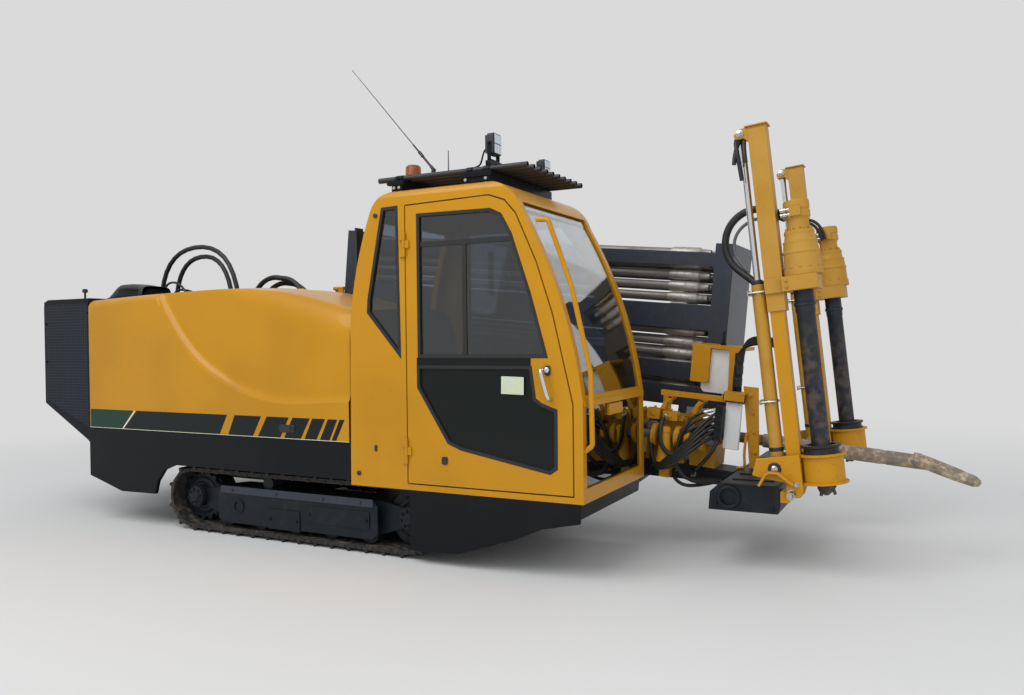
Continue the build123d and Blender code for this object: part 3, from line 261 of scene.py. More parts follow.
class Shape:
    """Faces gathered for one piece, given in a local frame and kept in the row frame."""

    def __init__(self, local=ROW):
        self.local = local
        self.points = []
        self.faces = []

    def add(self, points, faces):
        first = len(self.points)
        self.points += [self.local @ Vector(point) for point in points]
        self.faces += [[first + index for index in face] for face in faces]

    def box(self, low, high):
        x, y, z = zip(low, high)
        corners = [(x[i], y[j], z[k]) for i in (0, 1) for j in (0, 1) for k in (0, 1)]
        self.add(corners, ((0, 1, 3, 2), (4, 6, 7, 5), (0, 4, 5, 1), (2, 3, 7, 6), (0, 2, 6, 4),
                           (1, 5, 7, 3)))

    def plate(self, outline, axis, low, high):
        """An outline in the two other axes, made solid between low and high along one."""
        def corner(point, depth):
            place = list(point)
            place.insert("XYZ".index(axis), depth)
            return place
        self.add([corner(point, depth) for depth in (low, high) for point in outline], walls(2, len(outline)))

    def turned(self, start, direction, profile, sides=32, closed=False):
        """A profile of (distance, radius) turned about a line."""
        start = Vector(start)
        turn = Vector((0, 0, 1)).rotation_difference(Vector(direction).normalized()).to_matrix()
        points = []
        for distance, radius in profile:
            points += [start + turn @ Vector((*place, distance)) for place in circle(sides, radius)]
        self.add(points, walls(len(profile), sides, closed))

    def rod(self, start, end, radius, sides=24, edge=0.0):
        run = Vector(end) - Vector(start)
        length = run.length
        if edge:
            profile = ((0, radius - edge), (edge, radius), (length - edge, radius), (length, radius - edge))
        else:
            profile = ((0, radius), (length, radius))
        self.turned(start, run, profile, sides)

    def ring(self, start, end, radius, bore, sides=32):
        run = Vector(end) - Vector(start)
        length = run.length
        self.turned(start, run, ((0, radius), (length, radius), (length, bore), (0, bore)), sides,
                    closed=True)

    def bolt(self, seat, direction, across=0.019, height=0.011):
        """A hexagon head on its washer."""
        direction = Vector(direction).normalized()
        seat = Vector(seat)
        washer = seat + direction * 0.0025
        self.rod(seat, washer, across * 0.75, 16)
        self.turned(washer, direction, ((0, across / 2), (height * 0.85, across / 2),
                                        (height, across * 0.42)), 6)

    def bent(self, route, radius, sides=12):
        """A round bar or hose through the points of a route, smooth at its bends."""
        route = [Vector(point) for point in route]
        padded = [2 * route[0] - route[1], *route, 2 * route[-1] - route[-2]]
        line = []
        steps = 8
        for index in range(1, len(padded) - 2):
            a, b, c, d = padded[index - 1:index + 3]
            for step in range(steps):
                t = step / steps
                line.append(0.5 * (2 * b + (c - a) * t + (2 * a - 5 * b + 4 * c - d) * t ** 2
                                   + (3 * b - a - 3 * c + d) * t ** 3))
        line.append(route[-1])
        self.followed(line, radius, sides)

    def followed(self, line, radius, sides=12):
        """A round bar along close points, kept from twisting."""
        points = []
        across = None
        for index, place in enumerate(line):
            ahead = line[min(index + 1, len(line) - 1)] - line[max(index - 1, 0)]
            ahead.normalize()
            if across is None:
                across = ahead.orthogonal().normalized()
            across = (across - ahead * across.dot(ahead)).normalized()
            other = ahead.cross(across)
            points += [place + (across * a + other * b) * radius for a, b in circle(sides, 1.0)]
        self.add(points, walls(len(line), sides))

    def sheet(self, place, columns, rows):
        """A grid of points from a function of two shares, 0 to 1."""
        points = [place(column / columns, row / rows)
                  for column in range(columns + 1) for row in range(rows + 1)]
        step = rows + 1
        faces = [(column * step + row, (column + 1) * step + row, (column + 1) * step + row + 1,
                  column * step + row + 1) for column in range(columns) for row in range(rows)]
        self.add(points, faces)

    def piece(self, name, body, finish, slot=None, replaces=(), bevel=0.0, crease=35.0, thickness=0.0):
        mesh = bpy.data.meshes.new(name)
        mesh.from_pydata(self.points, [], self.faces)
        tidy = bmesh.new()
        tidy.from_mesh(mesh)
        bmesh.ops.recalc_face_normals(tidy, faces=tidy.faces)
        tidy.to_mesh(mesh)
        tidy.free()
        mesh.shade_smooth()
        mesh.set_sharp_from_angle(angle=radians(crease))
        made = linked(name, mesh)
        mesh.materials.append(material(finish))
        if thickness:
            wall = made.modifiers.new("Wall", "SOLIDIFY")
            wall.thickness = thickness
            wall.offset = -1.0
        if bevel:
            soften(made, bevel)
        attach(made, body)
        if replaces:
            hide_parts(*replaces)
        return made


def linked(name, data):
    """An object of the scene that holds the data."""
    made = bpy.data.objects.new(name, data)
    bpy.context.scene.collection.objects.link(made)
    return made


def soften(made, width, angle=40.0):
    """Rounds the hard edges by a little, so that they catch the light."""
    edge = made.modifiers.new("Edge", "BEVEL")
    edge.width = width
    edge.segments = 2
    edge.limit_method = "ANGLE"
    edge.angle_limit = radians(angle)
    edge.harden_normals = False
    shade = made.modifiers.new("Shade", "WEIGHTED_NORMAL")
    shade.keep_sharp = False


def hose(name, body, routes, radius, finish="hose_rubber", local=ROW, order=4, replaces=()):
    """Hydraulic hoses as smooth splines through given points."""
    data = bpy.data.curves.new(name, "CURVE")
    data.dimensions = "3D"
    data.bevel_depth = radius
    data.bevel_resolution = 3
    data.resolution_u = 6
    data.use_fill_caps = True
    for route in routes:
        spline = data.splines.new("NURBS")
        spline.points.add(len(route) - 1)
        for point, place in zip(spline.points, route):
            point.co = (*(local @ Vector(place)), 1.0)
        spline.order_u = min(order, len(route))
        spline.use_endpoint_u = True
    made = linked(name, data)
    data.materials.append(material(finish))
    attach(made, body)
    if replaces:
        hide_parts(*replaces)
    return made


# Finishes, each made once when it is first asked for
FINISHES = {}
SCREEN_PITCH = 0.011


def finish_maker(function):
    FINISHES[function.__name__] = function
    return function


def material(name):
    made = bpy.data.materials.get(name)
    if made is None:
        made = FINISHES[name](bpy.context.scene.rig_paint).material
        made.name = name
    return made


@finish_maker
def body_yellow(paint):
    made = Finish(paint.yellow, 0.30, Coat_Weight=0.18, Coat_Roughness=0.06, Specular_IOR_Level=0.22)
    made.over(made.rise(made.noise(1.7, 3.0), 0.35, 0.7), [value * 0.90 for value in paint.yellow])
    dust = made.rise(made.noise(6.0, 8.0), 0.55, 0.85) * made.rise(made.facing("Z"), 0.2, 0.9) * 0.35
    made.over(dust, paint.dust)
    made.put("Roughness", made.noise(14.0, 5.0) * 0.12 + 0.24 + dust * 0.4)
    made.grain(made.noise(160.0, 2.0), 0.03)
    return made


@finish_maker
def working_yellow(paint):
    made = Finish([value * 0.97 for value in paint.yellow], 0.42, Specular_IOR_Level=0.25)
    scuffs = made.rise(made.noise(26.0, 9.0), 0.60, 0.70)
    chips = made.rise(made.noise(75.0, 6.0), 0.66, 0.70) * paint.wear
    made.over(made.rise(made.noise(3.2, 4.0), 0.35, 0.75) * 0.5, (0.47, 0.25, 0.035))
    made.over(scuffs * 0.35 * paint.wear, paint.dust)
    made.over(chips, (0.075, 0.055, 0.045))
    made.put("Roughness", scuffs * 0.25 + 0.38)
    made.grain(made.noise(120.0, 4.0) + chips * -0.6, 0.10)
    return made


@finish_maker
def faded_yellow(paint):
    """Paint gone pale and dull in the sun."""
    made = Finish((0.47, 0.255, 0.042), 0.50, Specular_IOR_Level=0.25)
    made.over(made.rise(made.noise(4.0, 5.0), 0.35, 0.75), (0.42, 0.215, 0.018))
    chips = made.rise(made.noise(70.0, 6.0), 0.68, 0.72) * paint.wear
    made.over(chips, (0.16, 0.13, 0.10))
    made.put("Roughness", made.noise(20.0, 4.0) * 0.15 + 0.42)
    made.grain(made.noise(120.0, 4.0) + chips * -0.5, 0.10)
    return made


@finish_maker
def panel_black(paint):
    made = Finish(paint.black, 0.32, Coat_Weight=0.06, Coat_Roughness=0.1, Specular_IOR_Level=0.12)
    rough = made.dusty(paint.dust, 0.02, 4.0, 3.0, 0.28, 0.45, 0.8)
    made.put("Roughness", rough + made.noise(11.0, 4.0) * 0.10)
    made.grain(made.noise(140.0, 2.0), 0.03)
    return made


@finish_maker
def frame_black(paint):
    made = Finish((0.008, 0.011, 0.015), 0.45, Specular_IOR_Level=0.22)
    rough = made.dusty(paint.dust, 0.14 * paint.wear, 13.0, 0.8, 0.38, 0.48, 0.8)
    made.put("Roughness", rough + made.noise(40.0, 5.0) * 0.12)
    made.grain(made.noise(95.0, 5.0), 0.14)
    return made


@finish_maker
def frame_grey(paint):
    made = Finish((0.034, 0.040, 0.056), 0.42, Specular_IOR_Level=0.3)
    made.dusty(paint.dust, 0.25 * paint.wear, 16.0, 0.6, 0.38)
    made.grain(made.noise(90.0, 4.0), 0.1)
    return made


@finish_maker
def track_steel(paint):
    made = Finish((0.022, 0.022, 0.023), 0.68, Metallic=0.3)
    soil = made.rise(made.noise(24.0, 10.0), 0.44, 0.64)
    outside = made.rise(made.facing("Z"), 0.2, 0.8)
    rusty = made.rise(made.noise(60.0, 6.0), 0.55, 0.7)
    made.over(rusty * 0.35, (0.095, 0.060, 0.040))
    made.over(soil * (outside * 0.55 + 0.30), [value * 0.62 for value in paint.dust])
    made.put("Roughness", soil * 0.2 + 0.66)
    made.grain(made.noise(55.0, 10.0), 0.7, 0.004)
    return made


@finish_maker
def rod_steel(paint):
    made = Finish((0.23, 0.22, 0.21), 0.48, Metallic=0.5)
    rust = made.rise(made.noise(7.0, 8.0, (0.35, 1.0, 1.0)), 0.46, 0.66)
    streak = made.rise(made.noise(30.0, 6.0, (0.08, 1.0, 1.0)), 0.5, 0.65)
    made.over(rust * 0.6, (0.11, 0.085, 0.066))
    made.over(streak * 0.3, (0.22, 0.20, 0.185))
    made.put("Metallic", 0.6 - rust * 0.4)
    made.put("Roughness", rust * 0.2 + 0.46)
    made.grain(made.noise(80.0, 6.0, (0.3, 1.0, 1.0)), 0.25)
    return made


@finish_maker
def joint_steel(paint):
    made = Finish((0.40, 0.38, 0.35), 0.42, Metallic=0.7)
    marks = made.rise(made.noise(40.0, 6.0), 0.5, 0.75)
    made.over(marks * 0.6, (0.16, 0.13, 0.11))
    made.put("Roughness", marks * 0.25 + 0.42)
    made.grain(made.noise(110.0, 3.0), 0.12)
    return made


@finish_maker
def worn_brown_steel(paint):
    made = Finish((0.020, 0.026, 0.036), 0.60, Metallic=0.4)
    low = made.rise(made.along("Z"), 1.55, 1.15)
    rust = made.rise(made.noise(22.0, 9.0), 0.38, 0.7) * low
    made.over(rust, (0.105, 0.080, 0.066))
    soil = made.rise(made.noise(4.5, 8.0), 0.52, 0.8) * low
    made.over(soil * 0.5, paint.dust)
    made.put("Roughness", rust * 0.2 + 0.52)
    made.grain(made.noise(48.0, 9.0), 0.55, 0.002)
    return made


@finish_maker
def muddy_steel(paint):
    made = Finish((0.34, 0.27, 0.19), 0.85)
    thick = made.rise(made.noise(17.0, 8.0), 0.40, 0.62)
    fresh = made.rise(made.noise(46.0, 5.0), 0.35, 0.65)
    color = made.mix(fresh, (0.26, 0.20, 0.135, 1.0), (0.50, 0.41, 0.30, 1.0))
    made.put("Base Color", made.mix(thick, (0.20, 0.165, 0.125, 1.0), color))
    made.put("Roughness", thick * 0.4 + 0.45)
    made.grain(made.noise(38.0, 10.0) + thick, 0.9, 0.004)
    return made


@finish_maker
def chrome_rod(paint):
    made = Finish((0.72, 0.74, 0.77), 0.10, Metallic=1.0)
    film = made.rise(made.noise(12.0, 4.0), 0.4, 0.8)
    made.put("Roughness", film * 0.14 + 0.07)
    return made


@finish_maker
def plated_fitting(paint):
    made = Finish((0.52, 0.51, 0.47), 0.30, Metallic=1.0)
    film = made.rise(made.noise(60.0, 4.0), 0.45, 0.8)
    made.over(film * 0.6, (0.16, 0.14, 0.11))
    made.put("Roughness", film * 0.25 + 0.24)
    return made


@finish_maker
def hose_rubber(paint):
    made = Finish((0.013, 0.013, 0.015), 0.48, IOR=1.45)
    made.dusty(paint.dust, 0.18 * paint.wear, 20.0, 0.8, 0.42)
    made.grain(made.noise(240.0, 3.0), 0.25)
    return made


def plain_finish(color, roughness, noise, gain, base, grain=None, **fixed):
    """One colour. noise is scale and detail, and grain is scale, detail and strength."""
    made = Finish(color, roughness, **fixed)
    made.put("Roughness", made.noise(*noise) * gain + base)
    if grain:
        scale, detail, strength = grain
        made.grain(made.noise(scale, detail), strength)
    return made


@finish_maker
def seal_rubber(paint):
    return plain_finish((0.010, 0.010, 0.011), 0.62, (30.0, 4.0), 0.15, 0.54, (200.0, 3.0, 0.15))


@finish_maker
def black_plastic(paint):
    return plain_finish((0.016, 0.017, 0.020), 0.45, (26.0, 4.0), 0.14, 0.38, (420.0, 2.0, 0.20))


# Painted shade: an opaque near-black sheet in place of glass, for the shaded cab inside
@finish_maker
def painted_shade_glass(paint):
    return plain_finish((0.007, 0.009, 0.009), 0.10, (8.0, 5.0), 0.12, 0.05, Specular_IOR_Level=0.20)


@finish_maker
def stripe_black(paint):
    return plain_finish((0.010, 0.013, 0.013), 0.30, (16.0, 4.0), 0.10, 0.24, Specular_IOR_Level=0.20)


@finish_maker
def stripe_green(paint):
    return plain_finish(paint.green, 0.30, (16.0, 4.0), 0.10, 0.24, Specular_IOR_Level=0.20)


def glass_finish(tint, coat):
    """Tinted safety glass with a faint film of dust. coat is the index of its mirror-like face."""
    made = Finish(tint, 0.02, Transmission_Weight=1.0, IOR=1.45, Coat_Weight=1.0, Coat_IOR=coat)
    haze = made.rise(made.noise(5.0, 6.0), 0.40, 0.85)
    made.put("Roughness", haze * 0.04 + 0.01)
    return made


# Partly real tint, partly painted shade: darker than the windscreen, for the shaded cab inside
@finish_maker
def shaded_side_glass(paint):
    return glass_finish((0.10, 0.135, 0.175), 1.5)


@finish_maker
def windscreen_glass(paint):
    return glass_finish((0.50, 0.56, 0.60), 2.3)


@finish_maker
def seat_cloth(paint):
    made = Finish((0.030, 0.031, 0.036), 0.85, Sheen_Weight=0.3)
    weave = made.node("TexWave", {"bands_direction": "DIAGONAL"},
                      {0: made.place(), "Scale": 90.0, "Distortion": 1.5})
    made.over(weave * 0.5, (0.070, 0.072, 0.080))
    made.grain(weave, 0.35)
    return made


@finish_maker
def pale_plate(paint):
    made = Finish((0.78, 0.80, 0.80), 0.45)
    made.dusty(paint.dust, 0.12, 18.0, 0.5, 0.40, 0.5, 0.8)
    made.grain(made.noise(70.0, 3.0), 0.05)
    return made


@finish_maker
def amber_lens(paint):
    made = Finish((0.36, 0.09, 0.025), 0.16, Transmission_Weight=0.35, IOR=1.49)
    ribs = made.node("TexWave", {"bands_direction": "Z"}, {0: made.place(), "Scale": 55.0})
    made.grain(ribs, 0.4, 0.002)
    made.put("Roughness", ribs * 0.1 + 0.12)
    return made


@finish_maker
def lamp_lens(paint):
    made = Finish((0.62, 0.68, 0.74), 0.12, Metallic=0.6, Coat_Weight=1.0)
    cell = made.node("TexVoronoi", values={0: made.place(), "Scale": 70.0})
    made.grain(cell, 0.5, 0.002)
    made.put("Roughness", cell * 0.3 + 0.08)
    return made


@finish_maker
def screen_black(paint):
    made = Finish((0.020, 0.026, 0.038), 0.50, Specular_IOR_Level=0.25)
    waves = (made.node("Math", {"operation": "PINGPONG"}, {0: made.along(axis), 1: SCREEN_PITCH})
             for axis in "ZX")
    rows, columns = (made.rise(wave, 0.0014, 0.0030) for wave in waves)
    shaded_holes = rows * columns
    # The mesh pattern is real; its holes are painted darker as painted shade seen through the mesh
    made.over(shaded_holes * 0.75, (0.007, 0.009, 0.013))
    made.put("Roughness", shaded_holes * 0.3 + 0.45)
    made.grain(1.0 - shaded_holes, 0.5, 0.0006)
    return made


@finish_maker
def machine_grey(paint):
    made = Finish((0.13, 0.135, 0.14), 0.55, Metallic=0.3)
    made.dusty(paint.dust, 0.4, 12.0, 0.4, 0.45)
    made.grain(made.noise(60.0, 5.0), 0.3)
    return made


@finish_maker
def stripe_white(paint):
    made = Finish((0.72, 0.73, 0.72), 0.35)
    made.dusty(paint.dust, 0.12, 20.0, 0.4, 0.32)
    return made


@finish_maker
def paper_label(paint):
    made = Finish((0.62, 0.66, 0.50), 0.75)
    made.over(made.noise(30.0, 5.0), (0.50, 0.56, 0.42))
    made.grain(made.noise(60.0, 4.0), 0.15)
    return made


# CAD nodes by finish, with their edge radius in metres. A star stands for near and for far
CAD_FINISHES = {
    "frame_black": {"main_frame": 0.003, "frame_nose": 0.004, "tilt_mount": 0.003, "track_frame_*": 0.004,
                    "rack_frame": 0.003, "tilt_barrel": 0.002},
    "hose_rubber": {"rear_hoses": 0.0, "aerials": 0.0, "carriage_hoses": 0.0, "drum_ring_*": 0.003},
    "track_steel": {"track_*": 0.003},
    "panel_black": {"lower_body": 0.004, "cooler_box": 0.008, "cab_skirt": 0.004},
    "body_yellow": {"rear_cover": 0.006, "hood": 0.004, "hood_far_panel": 0.002, "cab_shell": 0.005,
                    "grab_rail": 0.0, "cab_door": 0.004},
    "machine_grey": {"engine_block": 0.01, "cooler_core": 0.003},
    "black_plastic": {"rear_grille": 0.001, "consoles": 0.01, "roof_rack": 0.002, "lamps": 0.002},
    "windscreen_glass": {"cab_glass": 0.0},
    "seat_cloth": {"seat": 0.02},
    "amber_lens": {"beacon": 0.004},
    "shaded_side_glass": {"door_glass": 0.0},
    "frame_grey": {"rod_box": 0.004},
    "rod_steel": {"drill_rods": 0.003, "drill_string": 0.002},
    "working_yellow": {"vise_group": 0.004, "bracket": 0.003, "anchor_bases": 0.004, "carriage": 0.005,
                       "auger_motor_*": 0.004, "anchor_drum_*": 0.004},
    "pale_plate": {"guard_box": 0.006},
    "faded_yellow": {"anchor_barrels": 0.002, "anchor_slider_*": 0.004},
    "muddy_steel": {"drill_head": 0.005},
    "chrome_rod": {"tilt_rod": 0.001, "anchor_rod_*": 0.001},
    "worn_brown_steel": {"auger_*": 0.002},
}
NODE_FINISH = {node.replace("*", side): (finish, edge)
               for finish, nodes in CAD_FINISHES.items() for node, edge in nodes.items() for side in SIDES}

# Glass nodes with a second, darker finish as painted shade of the cab inside: below this height, and on the
# sides
WINDSCREEN_REAR = 0.25
PANES = {"cab_glass": ("shaded_side_glass", 0.99, True), "door_glass": ("painted_shade_glass", 1.21, False)}


class RIG_OT_finish_frame(Operator):
    """Give every CAD piece its finish and soft edges"""
    bl_idname = "rig.finish_frame"
    bl_label = "Finish the frame"

    def execute(self, context):
        for node, made in frame["nodes"].items():
            finish, edge = NODE_FINISH[node]
            made.data.materials.clear()
            made.data.materials.append(material(finish))
            if node in PANES:
                self.tint(made, *PANES[node])
            if edge:
                weld = made.modifiers.new("Weld", "WELD")
                weld.merge_threshold = 0.00002
                flat = made.modifiers.new("Flat", "DECIMATE")
                flat.decimate_type = "DISSOLVE"
                flat.angle_limit = radians(0.5)
                soften(made, edge)
        return {"FINISHED"}

    def tint(self, made, finish, below, sides):
        """A darker glass for the low panes, and for those on the machine's sides, as painted shade of the cab
        inside.
        """
        made.data.materials.append(material(finish))
        for face in made.data.polygons:
            side = sides and abs(face.normal.y) > 0.9 and face.center.x < WINDSCREEN_REAR
            if side or (made.matrix_world @ face.center).z < below:
                face.material_index = 1


AIM = Vector((0, 0, 0.8))


class RIG_OT_stage(Operator):
    """Make the floor, the lights and the camera"""
    bl_idname = "rig.stage"
    bl_label = "Stage"

    def execute(self, context):
        light = context.scene.rig_light
        self.make_floor(light)
        self.make_world(context, light)
        for name, place, size, power in (
            ("Key", (-1.5, -6.5, 8.5), 7.0, light.key),
            ("Fill", (6.5, -6.0, 3.5), 5.0, light.fill),
            ("Rim", (0.0, 7.0, 6.0), 6.0, light.fill),
        ):
            data = bpy.data.lights.new(name, "AREA")
            data.size = size
            data.energy = power
            lamp = linked(name, data)
            lamp.location = place
            lamp.visible_glossy = name == "Key"
            lamp.rotation_euler = (AIM - Vector(place)).to_track_quat("-Z", "Y").to_euler()
        self.make_camera(context)
        context.scene.view_settings.view_transform = "Standard"
        return {"FINISHED"}

    def make_floor(self, light):
        """A pale floor that keeps shadows and goes over into the background further out."""
        half = 40.0
        mesh = bpy.data.meshes.new("floor")
        mesh.from_pydata([(-half, -half, 0), (half, -half, 0), (half, half, 0), (-half, half, 0)], [],
                         [(0, 1, 2, 3)])
        floor = linked("floor", mesh)
        tone = light.backdrop
        made = Finish((tone, tone, tone), 0.9)
        made.material.name = "studio_floor"
        made.put("Roughness", made.noise(0.5) * 0.05 + 0.88)
        far = made.rise(made.node("VectorMath", {"operation": "LENGTH"}, {0: made.place()}, out=1), 3.5, 9.5)
        even = made.node("Emission", values={"Color": (tone, tone, tone, 1.0)})
        blend = made.node("MixShader", values={0: far})
        made.tree.links.new(made.shader.outputs[0], blend.socket.node.inputs[1])
        made.tree.links.new(even.socket, blend.socket.node.inputs[2])
        made.tree.links.new(blend.socket, made.output.inputs[0])
        mesh.materials.append(made.material)

    def make_world(self, context, light):
        """Even light, with the plain backdrop where a camera, mirror or pane looks."""
        world = bpy.data.worlds.new("studio")
        world.use_nodes = True
        tree = world.node_tree
        tree.nodes.clear()
        output = tree.nodes.new("ShaderNodeOutputWorld")
        path = tree.nodes.new("ShaderNodeLightPath")
        lit, seen = (tree.nodes.new("ShaderNodeBackground") for _ in range(2))
        lit.inputs["Color"].default_value = (0.96, 0.98, 1.0, 1.0)
        lit.inputs["Strength"].default_value = light.sky
        seen.inputs["Color"].default_value = (light.backdrop, light.backdrop, light.backdrop, 1.0)
        either = [tree.nodes.new("ShaderNodeMath") for _ in range(2)]
        for node in either:
            node.operation = "MAXIMUM"
        tree.links.new(path.outputs["Is Camera Ray"], either[0].inputs[0])
        tree.links.new(path.outputs["Is Glossy Ray"], either[0].inputs[1])
        tree.links.new(either[0].outputs[0], either[1].inputs[0])
        tree.links.new(path.outputs["Is Transmission Ray"], either[1].inputs[1])
        choose = tree.nodes.new("ShaderNodeMixShader")
        tree.links.new(either[1].outputs[0], choose.inputs[0])
        tree.links.new(lit.outputs[0], choose.inputs[1])
        tree.links.new(seen.outputs[0], choose.inputs[2])
        tree.links.new(choose.outputs[0], output.inputs[0])
        context.scene.world = world

    def make_camera(self, context):
        view = context.scene.rig_camera
        forward = Vector((-sin(view.azimuth) * cos(view.pitch),
                          cos(view.azimuth) * cos(view.pitch), sin(view.pitch)))
        right = Vector((cos(view.azimuth), sin(view.azimuth), 0.0))
        up = right.cross(forward)
        turned_right = right * cos(view.roll) + up * sin(view.roll)
        turned_up = up * cos(view.roll) - right * sin(view.roll)
        data = bpy.data.cameras.new("photo_view")
        data.sensor_width = SENSOR_WIDTH
        data.lens = view.focal * SENSOR_WIDTH / PHOTO_WIDTH
        camera = linked("photo_view", data)
        turn = Matrix((turned_right, turned_up, -forward)).transposed()
        camera.matrix_world = Matrix.Translation(Vector(view.place)) @ turn.to_4x4()
        context.scene.camera = camera


# Hood: its ends, sill and far edge, then its top, shoulder and crease as measured points of x and z
HOOD_REAR, HOOD_FRONT = -2.700, -0.228
HOOD_SILL = 0.706
HOOD_FAR = -0.108
TOP_LINE = ((-2.70, 1.672), (-2.10, 1.695), (-1.50, 1.709), (-1.25, 1.710), (-1.05, 1.697), (-0.86, 1.679),
            (-0.67, 1.643), (-0.49, 1.599), (-0.31, 1.555), (-0.22, 1.530))
EDGE_LINE = ((-2.70, 1.650), (-2.10, 1.682), (-1.40, 1.698), (-1.23, 1.677), (-1.08, 1.638), (-0.86, 1.581),
             (-0.68, 1.526), (-0.50, 1.480), (-0.32, 1.440), (-0.22, 1.412))
CREASE_LINE = ((-2.70, 3.00), (-1.975, 1.700), (-1.879, 1.551), (-1.747, 1.377), (-1.577, 1.215),
               (-1.361, 1.087), (-1.114, 0.990), (-0.875, 0.942), (-0.645, 0.937), (-0.325, 0.954),
               (-0.22, 0.960))


def smooth(value):
    value = min(max(value, 0.0), 1.0)
    return value * value * (3 - 2 * value)


def line_at(line, x):
    """A smooth height along a line of measured points."""
    index = max(i for i, point in enumerate(line[:-1]) if i == 0 or point[0] <= x)
    (x0, z0), (x1, z1) = line[index], line[index + 1]
    before = line[max(index - 1, 0)]
    after = line[min(index + 2, len(line) - 1)]
    run = x1 - x0
    slope0 = (z1 - before[1]) / (x1 - before[0]) * run
    slope1 = (after[1] - z0) / (after[0] - x0) * run
    t = min(max((x - x0) / run, 0.0), 1.0)
    return ((2 * t ** 3 - 3 * t ** 2 + 1) * z0 + (t ** 3 - 2 * t ** 2 + t) * slope0
            + (3 * t ** 2 - 2 * t ** 3) * z1 + (t ** 3 - t ** 2) * slope1)


class RIG_OT_hood(Operator):
    """Shape the hood, its sweeping recess and its stripe"""
    bl_idname = "rig.hood"
    bl_label = "Hood"

    LEDGE = 0.090
    WALL, CORNER, LIP = 0.60, 0.78, 0.92

    def recess(self, x, z):
        """How deep the sheet lies behind the side face above the crease."""
        crease = line_at(CREASE_LINE, x)
        slope = (line_at(CREASE_LINE, x + 0.01) - crease) / 0.01
        away = (z - crease) / hypot(1.0, slope)
        depth = 0.050 - 0.028 * smooth((x + 1.5) / 1.3)
        share = min(max(away / self.LEDGE, 0.0), 1.0)
        return depth * (1 - (1 - share) ** 3.4)

    def skin(self, along, up):
        """A point of the sheet: up the side wall, round the shoulder, and across the top."""
        x = HOOD_REAR + (HOOD_FRONT - HOOD_REAR) * along
        top, edge = line_at(TOP_LINE, x), line_at(EDGE_LINE, x)
        drop = (top - edge) / 0.118
        width, height = 0.045 + 0.100 * drop, 0.030 + 0.190 * drop
        wall_top = top - height
        crease = min(line_at(CREASE_LINE, x), wall_top - 0.03)
        inner = min(crease + 0.110, wall_top - 0.004)
        stops = ((0.0, HOOD_SILL), (0.20, crease - 0.006), (0.28, crease + 0.012), (0.50, inner),
                 (self.WALL, wall_top))
        if up <= self.WALL:
            for (s0, z0), (s1, z1) in zip(stops, stops[1:]):
                if up <= s1:
                    z = z0 + (z1 - z0) * (up - s0) / (s1 - s0)
                    break
            return x, NEAR + self.recess(x, z), z
        if up <= self.CORNER:
            turn = (up - self.WALL) / (self.CORNER - self.WALL) * pi / 2
            z = wall_top + height * sin(turn)
            y = NEAR + width * (1 - cos(turn)) + self.recess(x, z) * cos(turn)
            return x, y, z
        across = (up - self.CORNER) / (1 - self.CORNER)
        share = min(across / self.LIP, 1.0)
        y = NEAR + width + (HOOD_FAR - 0.004 - NEAR - width) * share
        crown = 0.022 * sin(pi * share)
        return x, y, top + crown - 0.030 * smooth((across - self.LIP) / (1 - self.LIP))

    def execute(self, context):
        hood = Shape()
        hood.sheet(self.skin, 260, 120)
        hood.piece("hood_skin", "hood_lid", "body_yellow", "yellow", replaces=["hood"], crease=50,
                   thickness=0.004)
        hinge = Shape()
        axis = JOINTS["hood_lift"]["pos_m"]
        for x in (-1.95, -1.55, -1.15):
            hinge.rod((x + 0.051, *axis[1:]), (x + 0.101, *axis[1:]), 0.014)
            hinge.box((x + 0.053, axis[1] - 0.012, axis[2] - 0.055), (x + 0.099, axis[1] + 0.006, axis[2]))
        hinge.piece("hood_knuckles", "hood_lid", "body_yellow", "yellow")
        self.stripe()
        return {"FINISHED"}

    def stripe(self):
        """The painted bars, the latch and the edge strip low on the side."""
        low, high = 0.710, 0.845
        face = NEAR - 0.0004
        bars = ((-2.180, -2.318, -1.273, -1.343), (-1.202, -1.262, -0.962, -1.037),
                (-0.911, -0.991, -0.720, -0.797), (-0.688, -0.761, -0.543, -0.621),
                (-0.522, -0.589, -0.417, -0.490), (-0.394, -0.462, -0.320, -0.384),
                (-0.300, -0.366, -0.262, -0.330))
        black = Shape()
        for top_rear, low_rear, top_front, low_front in bars:
            black.plate(((low_rear, low), (low_front, low), (top_front, high), (top_rear, high)), "Y",
                        face - 0.0012, face)
        black.piece("stripe_bars", "hood_lid", "stripe_black", "black")
        green = Shape()
        green.plate(((-2.690, low), (-2.336, low), (-2.206, high), (-2.690, high)), "Y", face - 0.0012, face)
        green.piece("stripe_rear_block", "hood_lid", "stripe_green", "black")
        pale = Shape()
        pale.plate(((-2.336, low), (-2.322, low), (-2.192, high), (-2.206, high)), "Y", face - 0.0013, face)
        pale.piece("stripe_line", "hood_lid", "stripe_white", "grey")
        latch = Shape()
        latch.plate(rounded((-0.799, 0.747), (-0.668, 0.797), 0.012), "Y", NEAR - 0.007, NEAR - 0.0014)
        latch.plate(rounded((-0.780, 0.757), (-0.700, 0.787), 0.006), "Y", NEAR - 0.012, NEAR - 0.007)
        latch.rod((-0.684, NEAR - 0.012, 0.772), (-0.684, NEAR - 0.006, 0.772), 0.009)
        latch.piece("hood_latch", "hood_lid", "black_plastic", "black", bevel=0.0015)
        edge = Shape()
        edge.box((HOOD_REAR, NEAR - 0.002, HOOD_SILL - 0.001), (HOOD_FRONT, NEAR + 0.006, HOOD_SILL + 0.003))
        edge.piece("hood_lower_edge", "hood_lid", "paper_label", "yellow")


